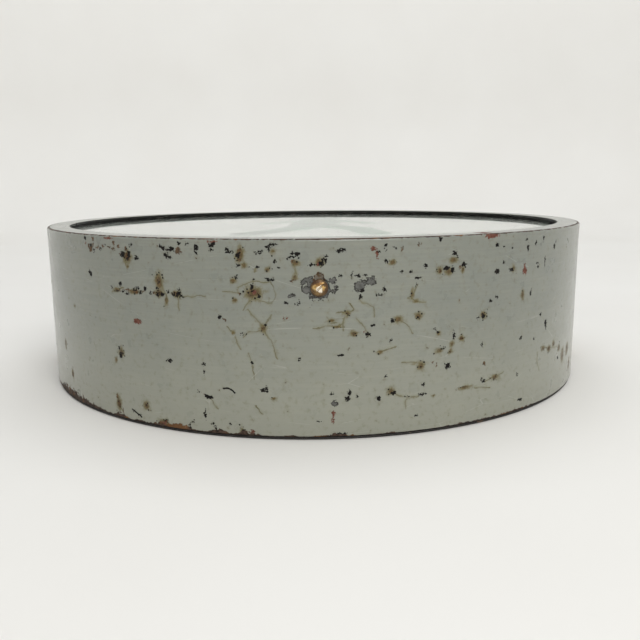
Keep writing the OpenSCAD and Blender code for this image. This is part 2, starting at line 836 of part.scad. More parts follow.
back_plate();
rim_hoop();
edge_seal();
cable_grommet();
hinge_fixed_leaf();
hinge_pin();
plate_rivets();
side("left") clamp_strap();  // clamp_strap_left
side("right") clamp_strap();  // clamp_strap_right
strap_nuts();
reflector_pillars();
reflector();
reflector_screws();
lead_grommet();
earth_stud();
earth_nuts();
earth_washers();
side("left") lamp_bracket();  // lamp_bracket_left
side("right") lamp_bracket();  // lamp_bracket_right
bracket_screws();
side("left") lamp_holder();  // lamp_holder_left
side("right") lamp_holder();  // lamp_holder_right
holder_screws();
side("left") holder_shell();  // holder_shell_left
side("right") holder_shell();  // holder_shell_right
holder_contacts();
side("left") lamp_cap();  // lamp_cap_left
side("right") lamp_cap();  // lamp_cap_right
side("left") lamp_glass();  // lamp_glass_left
side("right") lamp_glass();  // lamp_glass_right
terminal_block();
terminal_inserts();
terminal_screws();
block_screws();
lamp_leads();  // lamp_leads_left
mirror([1, 0, 0]) lamp_leads();  // lamp_leads_right
drum_cover();
front_gasket();
front_glass();
figure_film();
opal_diffuser();
clamp_hoop();
hoop_nuts();
side_screws();
hinge_moving_leaf();
cover_rivets();
side("left") cover_lug();  // cover_lug_left
side("right") cover_lug();  // cover_lug_right
side("left") clamp_screw();  // clamp_screw_left
side("right") clamp_screw();  // clamp_screw_right
side("left") circlip();  // circlip_left
side("right") circlip();  // circlip_right
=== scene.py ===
# Round pedestrian signal light, lying on its back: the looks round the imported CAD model.
# Everything is in metres, in the CAD's frame. Names that end in _mm hold millimetres.
# An angle on the drum is in degrees, seen from above, from the side nearest the camera (-Y) towards +X.
import json
import math
import random

import bmesh
import bpy
import numpy as np
from mathutils import Matrix, Vector


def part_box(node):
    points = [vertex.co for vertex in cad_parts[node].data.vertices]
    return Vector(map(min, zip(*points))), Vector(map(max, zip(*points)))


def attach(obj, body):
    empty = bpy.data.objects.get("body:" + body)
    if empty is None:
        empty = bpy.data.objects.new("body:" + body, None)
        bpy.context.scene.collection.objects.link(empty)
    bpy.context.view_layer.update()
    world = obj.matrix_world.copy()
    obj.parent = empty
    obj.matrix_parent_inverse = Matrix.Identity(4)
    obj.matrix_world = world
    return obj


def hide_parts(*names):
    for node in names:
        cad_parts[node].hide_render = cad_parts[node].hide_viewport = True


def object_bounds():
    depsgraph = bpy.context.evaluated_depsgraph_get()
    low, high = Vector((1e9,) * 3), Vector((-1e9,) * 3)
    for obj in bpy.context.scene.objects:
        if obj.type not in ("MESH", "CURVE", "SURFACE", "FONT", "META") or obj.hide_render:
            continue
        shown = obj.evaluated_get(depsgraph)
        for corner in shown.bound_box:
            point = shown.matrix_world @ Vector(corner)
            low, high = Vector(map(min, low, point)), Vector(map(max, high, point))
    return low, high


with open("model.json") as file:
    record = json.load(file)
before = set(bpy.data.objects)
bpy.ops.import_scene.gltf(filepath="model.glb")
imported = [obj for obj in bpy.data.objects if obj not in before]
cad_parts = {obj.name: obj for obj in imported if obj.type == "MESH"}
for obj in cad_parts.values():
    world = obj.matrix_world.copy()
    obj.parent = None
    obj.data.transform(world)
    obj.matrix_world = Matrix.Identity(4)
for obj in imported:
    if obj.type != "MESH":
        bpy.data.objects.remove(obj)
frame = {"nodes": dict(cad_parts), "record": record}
cad_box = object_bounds()
nodes = frame["nodes"]

MM = 0.001
scene = bpy.context.scene

# ---- Camera, floor and light ----

CAMERA_DISTANCE = 0.4828
CAMERA_HEIGHT = 0.118
CAMERA_LENS = 39.56
CAMERA_DOWN = 10.98
CAMERA_TURN = 0.42
CAMERA_TILT = 0.5


def make_camera():
    camera = bpy.data.objects.new("camera", bpy.data.cameras.new("camera"))
    scene.collection.objects.link(camera)
    camera.data.lens = CAMERA_LENS
    camera.data.clip_start = 0.01
    turn = Matrix.Rotation(math.radians(-CAMERA_TURN), 4, "Z")
    down = Matrix.Rotation(math.radians(90 - CAMERA_DOWN), 4, "X")
    tilt = Matrix.Rotation(math.radians(-CAMERA_TILT), 4, "Z")
    place = Matrix.Translation((0, -CAMERA_DISTANCE, CAMERA_HEIGHT))
    camera.matrix_world = place @ turn @ down @ tilt
    scene.camera = camera


def link(name, mesh):
    """A new object in the scene, with this mesh."""
    piece = bpy.data.objects.new(name, mesh)
    scene.collection.objects.link(piece)
    return piece


def lathe(name, profile, angles):
    """A mesh turned round Z from a closed or open list of (radius, height) points."""
    radius, height = np.array(profile).T
    x = np.outer(np.sin(angles), radius)
    y = np.outer(-np.cos(angles), radius)
    z = np.broadcast_to(height, x.shape)
    points = np.stack([x, y, z], axis=-1).reshape(-1, 3)
    columns, rows = x.shape
    faces = []
    for i in range(columns):
        here = i * rows
        there = (i + 1) % columns * rows
        for j in range(rows - 1):
            faces.append((here + j, there + j, there + j + 1, here + j + 1))
    mesh = bpy.data.meshes.new(name)
    mesh.from_pydata(points.tolist(), [], faces)
    mesh.shade_smooth()
    return mesh


def make_floor():
    """A pale floor that curves up into a pale wall all round, open above."""
    floor_r = 1.15
    curve_r = 0.35
    wall_top = 1.1
    profile = [(0.002, 0), (0.3, 0), (0.7, 0), (floor_r, 0)]
    for step in range(1, 9):
        a = math.radians(90 * step / 8)
        profile.append((floor_r + curve_r * math.sin(a), curve_r * (1 - math.cos(a))))
    profile.append((floor_r + curve_r, wall_top))
    floor = link("floor", lathe("floor", profile, np.radians(np.arange(0, 360, 5))))
    floor.location.z = cad_box[0].z - 0.0002
    look = Look("floor")
    cloud = look.noise(180, detail=2)
    look.colour(look.mix(cloud, tone(225, 223, 219), tone(231, 230, 227)))
    look.rough(0.85)
    floor.data.materials.append(look.material)


def area_light(name, place, aim, size, power, tint):
    light = bpy.data.lights.new(name, "AREA")
    light.shape = "RECTANGLE"
    light.size, light.size_y = size
    light.energy = power
    light.color = tint
    lamp = bpy.data.objects.new(name, light)
    scene.collection.objects.link(lamp)
    lamp.location = place
    lamp.rotation_euler = (Vector(aim) - Vector(place)).to_track_quat("-Z", "Y").to_euler()


def make_light():
    world = bpy.data.worlds.new("studio")
    world.use_nodes = True
    background = world.node_tree.nodes["Background"]
    background.inputs["Color"].default_value = (0.95, 0.98, 1.0, 1)
    background.inputs["Strength"].default_value = 0.33
    scene.world = world
    area_light("overhead", (0.1, 0.2, 1.9), (0, 0, 0), (1.8, 1.8), 15, (0.98, 0.99, 1))
    area_light("front", (0.3, -1.15, 1.0), (0, 0, 0.05), (0.8, 0.4), 10, (1, 0.99, 0.97))
    area_light("wall_wash", (0, 0.55, 1.3), (0, 1.5, 0.3), (2.2, 0.4), 4.4, (0.97, 0.99, 1))


# ---- Materials ----

def tone(red, green, blue):
    """A colour as it looks on a screen, from 0 to 255, as Blender's linear colour."""
    linear = []
    for level in (red, green, blue):
        level = level / 255
        linear.append(level / 12.92 if level <= 0.04045 else ((level + 0.055) / 1.055) ** 2.4)
    return (*linear, 1)


class Look:
    """A node material, with short calls for the nodes that it uses. Sizes are in millimetres."""

    def __init__(self, name):
        self.material = bpy.data.materials.new(name)
        self.material.use_nodes = True
        self.tree = self.material.node_tree
        self.shader = self.tree.nodes["Principled BSDF"]
        self.place = self.tree.nodes.new("ShaderNodeTexCoord").outputs["Object"]

    def feed(self, socket, value):
        if isinstance(value, bpy.types.NodeSocket):
            self.tree.links.new(value, socket)
        else:
            socket.default_value = value

    def set(self, **values):
        """Plain numbers on the shader's own sockets."""
        for name, value in values.items():
            self.shader.inputs[name.replace("_", " ")].default_value = value

    def colour(self, value):
        self.feed(self.shader.inputs["Base Color"], value)

    def rough(self, value):
        self.feed(self.shader.inputs["Roughness"], value)

    def metal(self, value):
        self.feed(self.shader.inputs["Metallic"], value)

    def let_light_through(self):
        """Glass that lamps shine straight through, so that what is behind it is lit."""
        lamp = self.tree.nodes.new("ShaderNodeLightPath")
        clear = self.tree.nodes.new("ShaderNodeBsdfTransparent")
        either = self.tree.nodes.new("ShaderNodeMixShader")
        self.tree.links.new(lamp.outputs["Is Shadow Ray"], either.inputs[0])
        self.tree.links.new(self.shader.outputs[0], either.inputs[1])
        self.tree.links.new(clear.outputs[0], either.inputs[2])
        self.tree.links.new(either.outputs[0], self.tree.nodes["Material Output"].inputs["Surface"])

    def relief(self, height, depth_mm):
        """Fine relief, depth_mm deep where height goes from 0 to 1."""
        bump = self.tree.nodes.new("ShaderNodeBump")
        bump.inputs["Distance"].default_value = depth_mm * MM
        bump.inputs["Strength"].default_value = 1
        self.feed(bump.inputs["Height"], height)
        self.feed(self.shader.inputs["Normal"], bump.outputs["Normal"])

    def stretched(self, x, y, z):
        """Coordinates that squeeze a pattern along an axis where the number is above 1."""
        node = self.tree.nodes.new("ShaderNodeVectorMath")
        node.operation = "MULTIPLY"
        self.feed(node.inputs[0], self.place)
        node.inputs[1].default_value = (x, y, z)
        return node.outputs[0]

    def noise(self, size_mm, detail=3, where=None, bend=0.0):
        """Cloudy noise round 0.5, with clouds of about this size."""
        node = self.tree.nodes.new("ShaderNodeTexNoise")
        self.feed(node.inputs["Vector"], where or self.place)
        node.inputs["Scale"].default_value = 1 / (size_mm * MM)
        node.inputs["Detail"].default_value = detail
        node.inputs["Distortion"].default_value = bend
        return node.outputs["Fac"]

    def cells(self, size_mm, feature="F1", where=None):
        """Distance to the nearest cell's point (F1) or edge, in cells of this size."""
        node = self.tree.nodes.new("ShaderNodeTexVoronoi")
        node.feature = feature
        self.feed(node.inputs["Vector"], where or self.place)
        node.inputs["Scale"].default_value = 1 / (size_mm * MM)
        return node.outputs["Distance"]

    def specks(self, size_mm, share, radius):
        """Scattered dots: a cell of this size has one with chance share, and its radius is in cells."""
        node = self.tree.nodes.new("ShaderNodeTexVoronoi")
        self.feed(node.inputs["Vector"], self.crooked(1, 0.3))
        node.inputs["Scale"].default_value = 1 / (size_mm * MM)
        split = self.tree.nodes.new("ShaderNodeSeparateColor")
        self.feed(split.inputs[0], node.outputs["Color"])
        chosen = self.math("LESS_THAN", split.outputs[0], share)
        return self.times(chosen, self.edge(node.outputs["Distance"], radius + 0.08, radius - 0.05))

    def crooked(self, size_mm, by_mm):
        """Coordinates shaken by noise, so that lines made from them are crooked."""
        shake = self.tree.nodes.new("ShaderNodeTexNoise")
        self.feed(shake.inputs["Vector"], self.place)
        shake.inputs["Scale"].default_value = 1 / (size_mm * MM)
        shake.inputs["Detail"].default_value = 2
        node = self.tree.nodes.new("ShaderNodeVectorMath")
        node.operation = "MULTIPLY_ADD"
        self.feed(node.inputs[0], shake.outputs["Color"])
        node.inputs[1].default_value = (2 * by_mm * MM,) * 3
        self.feed(node.inputs[2], self.place)
        return node.outputs[0]

    def attribute(self, name):
        node = self.tree.nodes.new("ShaderNodeAttribute")
        node.attribute_name = name
        return node.outputs["Fac"]

    def math(self, operation, first, second=0.0):
        node = self.tree.nodes.new("ShaderNodeMath")
        node.operation = operation
        for socket, value in zip(node.inputs, (first, second)):
            self.feed(socket, value)
        return node.outputs[0]

    def add(self, *values):
        total = values[0]
        for value in values[1:]:
            total = self.math("ADD", total, value)
        return total

    def times(self, *values):
        product = values[0]
        for value in values[1:]:
            product = self.math("MULTIPLY", product, value)
        return product

    def about(self, value, low, high):
        """Spreads a noise that runs from 0.3 to 0.7 over low to high."""
        node = self.tree.nodes.new("ShaderNodeMapRange")
        self.feed(node.inputs["Value"], value)
        node.inputs["From Min"].default_value = 0.3
        node.inputs["From Max"].default_value = 0.7
        self.feed(node.inputs["To Min"], low)
        self.feed(node.inputs["To Max"], high)
        return node.outputs["Result"]

    def edge(self, value, low, high):
        """0 below low, 1 above high, smooth between. With low above high it falls instead of rising."""
        node = self.tree.nodes.new("ShaderNodeMapRange")
        node.interpolation_type = "SMOOTHSTEP"
        self.feed(node.inputs["Value"], value)
        node.inputs["From Min"].default_value = min(low, high)
        node.inputs["From Max"].default_value = max(low, high)
        node.inputs["To Min"].default_value = 0 if low < high else 1
        node.inputs["To Max"].default_value = 1 if low < high else 0
        return node.outputs["Result"]

    def mix(self, amount, first, second):
        """One colour or the other, by amount."""
        node = self.tree.nodes.new("ShaderNodeMix")
        node.data_type = "RGBA"
        self.feed(node.inputs[0], amount)
        self.feed(node.inputs[6], first)
        self.feed(node.inputs[7], second)
        return node.outputs[2]

    def blend(self, amount, first, second):
        """One number or the other, by amount."""
        node = self.tree.nodes.new("ShaderNodeMix")
        self.feed(node.inputs[0], amount)
        self.feed(node.inputs[2], first)
        self.feed(node.inputs[3], second)
        return node.outputs[0]


# How far from a mark's edge its field still counts, in millimetres
REACH_MM = 4


def drum_paint():
    """Old grey paint with the marks that the drum's fields carry: chips, bare patches, rust and cracks, with
    painted shade on the lip's inner edge and painted light towards the bottom.
    """
    look = Look("grey_paint")
    cloud = look.noise(55, detail=2)
    mottle = look.noise(9, detail=4)
    grain = look.noise(1.4, detail=3)
    streak = look.noise(26, detail=4, where=look.stretched(1, 1, 28))
    height = look.attribute("height")
    paint = look.mix(look.about(cloud, 0, 1), tone(120, 124, 117), tone(130, 133, 124))
    paint = look.mix(look.about(mottle, 0, 0.4), paint, tone(138, 139, 126))
    paint = look.mix(look.about(streak, 0, 0.35), paint, tone(112, 115, 110))
    # Painted light: the band is painted lighter towards the bottom, standing for light thrown up from the
    # floor in front.
    paint = look.mix(look.times(look.edge(height, 0.75, 0.0), 0.5), paint, tone(152, 152, 138))

    fine = look.times(look.add(look.noise(0.8, detail=3), -0.5), 2.6)
    rough = look.times(look.add(look.noise(2.4, detail=4), -0.5), 5)
    small_jag = look.add(fine, look.times(rough, 0.3))
    jag = look.add(fine, rough)

    # Cracks that rust has stained, a faint web near rust, and light scratches
    rusty = look.attribute("rusty")
    wander = look.times(look.add(look.noise(7, detail=2), -0.5), 3.2)
    wobble = look.add(look.times(fine, 0.3), look.times(rough, 0.22), wander)
    aside = look.math("ABSOLUTE", look.add(look.attribute("crack_side"), wobble))
    near_crack = look.edge(look.attribute("crack"), REACH_MM - 1.6, REACH_MM - 0.9)
    line = look.times(look.edge(aside, 0.42, 0.12), near_crack, look.about(look.noise(6), 0.25, 0.95))
    fringe = look.times(look.edge(aside, 1.5, 0.2), near_crack, look.about(look.noise(7), 0.0, 0.5))
    web = look.edge(look.cells(7, "DISTANCE_TO_EDGE", look.crooked(5, 2)), 0.04, 0.0)
    web = look.times(web, look.edge(look.add(rusty, look.noise(11)), 0.85, 1.3), 0.4)
    paint = look.mix(fringe, paint, tone(112, 108, 76))
    paint = look.mix(look.math("MAXIMUM", line, web), paint, tone(84, 78, 48))
    scratch = look.edge(look.cells(40, "DISTANCE_TO_EDGE", look.stretched(0.5, 0.5, 2.2)), 0.005, 0.0)
    scratch = look.times(scratch, look.edge(look.noise(12), 0.5, 0.6))
    paint = look.mix(look.times(scratch, 0.35), paint, tone(178, 180, 172))

    # Ochre stains, darker in the middle
    stain = look.add(look.attribute("stain"), look.times(fine, 0.22), look.times(rough, 0.12))
    olive = look.add(look.attribute("stain"), look.times(fine, 0.1), look.times(rough, 0.22))
    paint = look.mix(look.times(look.edge(olive, 0.0, 0.6), 0.8), paint, tone(98, 90, 54))
    rust = look.mix(look.about(grain, 0, 1), tone(94, 72, 33), tone(56, 42, 21))
    paint = look.mix(look.times(look.edge(stain, 0.42, 0.85), 0.9), paint, rust)

    # Bare patches with a dark outline
    bare = look.add(look.attribute("bare"), -REACH_MM, jag)
    steel = look.mix(look.about(grain, 0, 1), tone(74, 74, 71), tone(100, 100, 97))
    inside = look.edge(bare, 0.2, 0.4)
    colour = look.mix(look.edge(bare, -0.35, -0.1), paint, tone(34, 32, 28))
    colour = look.mix(inside, colour, steel)

    # Red primer, brown rust and black pits
    primer = look.edge(look.add(look.attribute("primer"), -REACH_MM, small_jag), -0.1, 0.2)
    red = look.mix(look.about(grain, 0, 1), tone(82, 46, 36), tone(116, 78, 66))
    colour = look.mix(primer, colour, red)
    brown = look.edge(look.add(look.attribute("brown"), -REACH_MM, small_jag), -0.15, 0.25)
    rust_brown = look.mix(look.about(grain, 0, 1), tone(48, 34, 22), tone(96, 68, 42))
    colour = look.mix(look.times(brown, 0.9), colour, rust_brown)
    pit = look.edge(look.add(look.attribute("pit"), -REACH_MM, small_jag), -0.3, -0.15)
    specks = look.specks(1.7, look.edge(look.add(rusty, look.times(rough, 0.2)), 0.3, 1.2), 0.25)
    pit = look.math("MAXIMUM", pit, specks)
    scar_aside = look.math("ABSOLUTE", look.add(look.attribute("scar_side"), look.times(fine, 0.2)))
    near_scar = look.edge(look.attribute("scar"), REACH_MM - 1.2, REACH_MM - 0.8)
    pit = look.math("MAXIMUM", pit, look.times(look.edge(scar_aside, 0.5, 0.3), near_scar))
    black = look.mix(look.about(grain, 0, 1), tone(4, 3, 3), tone(20, 15, 11))
    colour = look.mix(pit, colour, black)

    # Wear along the edges: brown steel with a few spots of orange rust
    wear = look.add(look.attribute("wear"), look.times(fine, 0.3), look.times(rough, 0.35))
    worn = look.edge(wear, 0.45, 0.55)
    orange = look.times(look.edge(look.noise(8, detail=3), 0.56, 0.68), 0.7)
    steel_brown = look.mix(look.about(grain, 0, 1), tone(30, 24, 20), tone(88, 70, 60))
    colour = look.mix(worn, colour, look.mix(orange, steel_brown, tone(112, 78, 46)))
    # Painted shade: the lip's inner edge is painted near-black, standing for the shadow in the gap between the
    # lip and the glass.
    look.colour(look.mix(look.attribute("gap_shade"), colour, tone(9, 9, 8)))

    gone = look.math("MAXIMUM", look.math("MAXIMUM", pit, brown), look.math("MAXIMUM", primer, inside))
    gone = look.math("MAXIMUM", gone, worn)
    gloss = look.blend(look.edge(stain, 0.1, 0.6), look.about(mottle, 0.26, 0.38), 0.6)
    look.rough(look.blend(gone, gloss, 0.72))
    # The coat is left off where the paint is gone, and on the lip's inner edge with its painted shade.
    bare_or_shaded = look.math("MAXIMUM", gone, look.attribute("gap_shade"))
    look.feed(look.shader.inputs["Coat Weight"], look.blend(bare_or_shaded, 0.5, 0.0))
    look.set(Coat_Roughness=0.16, Specular_IOR_Level=0.2)
    relief = look.add(look.times(streak, 0.3), look.times(look.noise(3), 0.25), look.times(gone, -1.5),
                      look.times(grain, look.blend(gone, 0.05, 0.5)), look.times(line, -0.4))
    look.relief(relief, 0.08)
    return look.material


def painted(name, light, dark, worn_to, wear, gloss):
    """Sprayed paint with clouds, fine orange peel and a few chips with brownish edges."""
    look = Look(name)
    cloud = look.noise(24, detail=4)
    grain = look.noise(1.1, detail=3)
    colour = look.mix(look.about(cloud, 0, 1), dark, light)
    chips = look.add(look.noise(5, detail=6), look.times(look.cells(3.1), -0.14))
    chip = look.edge(chips, 0.66 - wear, 0.69 - wear)
    colour = look.mix(look.times(look.edge(chips, 0.62 - wear, 0.68 - wear), 0.5), colour, tone(96, 84, 62))
    colour = look.mix(chip, colour, look.mix(grain, worn_to, tone(80, 66, 50)))
    look.colour(colour)
    look.rough(look.blend(chip, look.about(cloud, gloss - 0.06, gloss + 0.1), 0.72))
    peel = look.add(look.times(look.noise(2.2), 0.3), look.times(grain, 0.15))
    look.relief(look.add(peel, look.times(chip, -1)), 0.08)
    return look.material


def metal(name, clean, dull, roughness, tarnish):
    """Metal with a patina in clouds, fine scratches and darker spots.

    A piece with the fields from_middle and rise gets a brown rim, darker brown over its lower half, and a
    painted highlight, a bright near-white patch, in its middle.
    """
    look = Look(name)
    cloud = look.noise(4.5, detail=5)
    spots = look.edge(look.noise(1.3, detail=4), 0.57, 0.7)
    scratches = look.noise(0.8, detail=3, where=look.stretched(0.15, 1, 1))
    patina = look.edge(cloud, 0.68 - 0.4 * tarnish, 0.9 - 0.4 * tarnish)
    colour = look.mix(patina, clean, dull)
    dark = tuple(0.35 * level for level in dull[:3]) + (1,)
    colour = look.mix(look.times(spots, 0.7), colour, dark)
    shake = look.times(look.add(look.noise(1.6, detail=4), -0.5), 1.1)
    rim = look.edge(look.add(look.attribute("from_middle"), shake), 0.56, 0.74)
    under = look.edge(look.add(look.attribute("rise"), shake), -0.1, -0.3)
    brown = look.math("MAXIMUM", rim, look.times(under, 0.8))
    colour = look.mix(look.times(brown, 0.85), colour, tone(70, 50, 36))
    # Painted highlight: the middle of a screw head is painted near-white, where the lamps would glint on the
    # dome.
    middle = look.times(look.edge(look.add(look.attribute("from_middle"), shake), 0.42, 0.3),
                        look.math("GREATER_THAN", look.attribute("from_middle"), 0.001))
    look.colour(look.mix(middle, colour, tone(236, 226, 208)))
    look.metal(look.blend(look.math("MAXIMUM", spots, brown), 1.0, 0.5))
    look.rough(look.add(look.blend(patina, roughness, roughness + 0.2), look.times(scratches, 0.12)))
    look.relief(look.add(scratches, look.times(spots, -1.2)), 0.03)
    return look.material


def moulded(name, light, dark, roughness, dust):
    """Rubber, porcelain, bakelite or plastic: even colour with faint clouds, dust and a fine skin."""
    look = Look(name)
    cloud = look.noise(13, detail=3)
    skin = look.noise(0.9, detail=3)
    dusty = look.times(look.edge(look.noise(7, detail=6), 0.42, 0.75), dust)
    look.colour(look.mix(dusty, look.mix(look.about(cloud, 0, 1), dark, light), tone(150, 145, 132)))
    look.rough(look.add(look.about(cloud, roughness - 0.04, roughness + 0.06), dusty))
    look.relief(skin, 0.03)
    return look


def pane(name, tint, roughness):
    """Clear glass with faint dust and wiping marks."""
    look = Look(name)
    wipes = look.noise(30, detail=5, where=look.stretched(1, 3, 1), bend=1.5)
    specks = look.edge(look.noise(1.2, detail=2), 0.66, 0.74)
    look.colour(look.mix(look.times(specks, 0.35), tint, tone(205, 200, 188)))
    look.rough(look.add(look.about(wipes, roughness, roughness + 0.07), look.times(specks, 0.3)))
    look.relief(look.noise(60, detail=1), 0.008)
    look.set(Transmission_Weight=1.0, IOR=1.5)
    look.let_light_through()
    return look.material


def make_materials():
    """One finish for each of the record's material slots."""
    made = {"grey_paint": drum_paint()}
    made["dark_plate"] = painted("dark_plate", tone(34, 31, 28), tone(22, 20, 18), tone(74, 54, 38),
                                 wear=0.05, gloss=0.6)
    made["inner_paint"] = painted("inner_paint", tone(146, 146, 134), tone(128, 129, 119), tone(70, 64, 56),
                                  wear=0.0, gloss=0.45)
    made["enamel"] = painted("enamel", tone(238, 235, 224), tone(226, 221, 206), tone(60, 54, 48),
                             wear=-0.03, gloss=0.28)
    made["bare_steel"] = metal("bare_steel", tone(160, 158, 150), tone(118, 98, 74), 0.42, 0.7)
    made["zinc"] = metal("zinc", tone(196, 194, 186), tone(158, 154, 144), 0.34, 0.4)
    made["brass"] = metal("brass", tone(206, 172, 112), tone(138, 104, 66), 0.3, 0.6)
    rubber = moulded("rubber", tone(20, 19, 18), tone(10, 10, 10), 0.7, 0.08)
    rubber.set(Specular_IOR_Level=0.2)
    made["rubber"] = rubber.material
    made["opal"] = moulded("opal", tone(240, 239, 233), tone(232, 230, 221), 0.35, 0.1).material
    made["figure"] = moulded("figure", tone(84, 162, 126), tone(70, 146, 110), 0.3, 0.1).material
    made["porcelain"] = moulded("porcelain", tone(238, 234, 224), tone(226, 219, 203), 0.18, 0.2).material
    made["bakelite"] = moulded("bakelite", tone(72, 46, 34), tone(46, 29, 22), 0.3, 0.2).material
    made["insulation"] = moulded("insulation", tone(88, 66, 52), tone(60, 46, 38), 0.55, 0.25).material
    made["clear_glass"] = pane("clear_glass", tone(238, 244, 241), 0.01)
    made["lamp_glass"] = pane("lamp_glass", tone(246, 243, 236), 0.35)
    return made


# ---- Marks on the drum ----

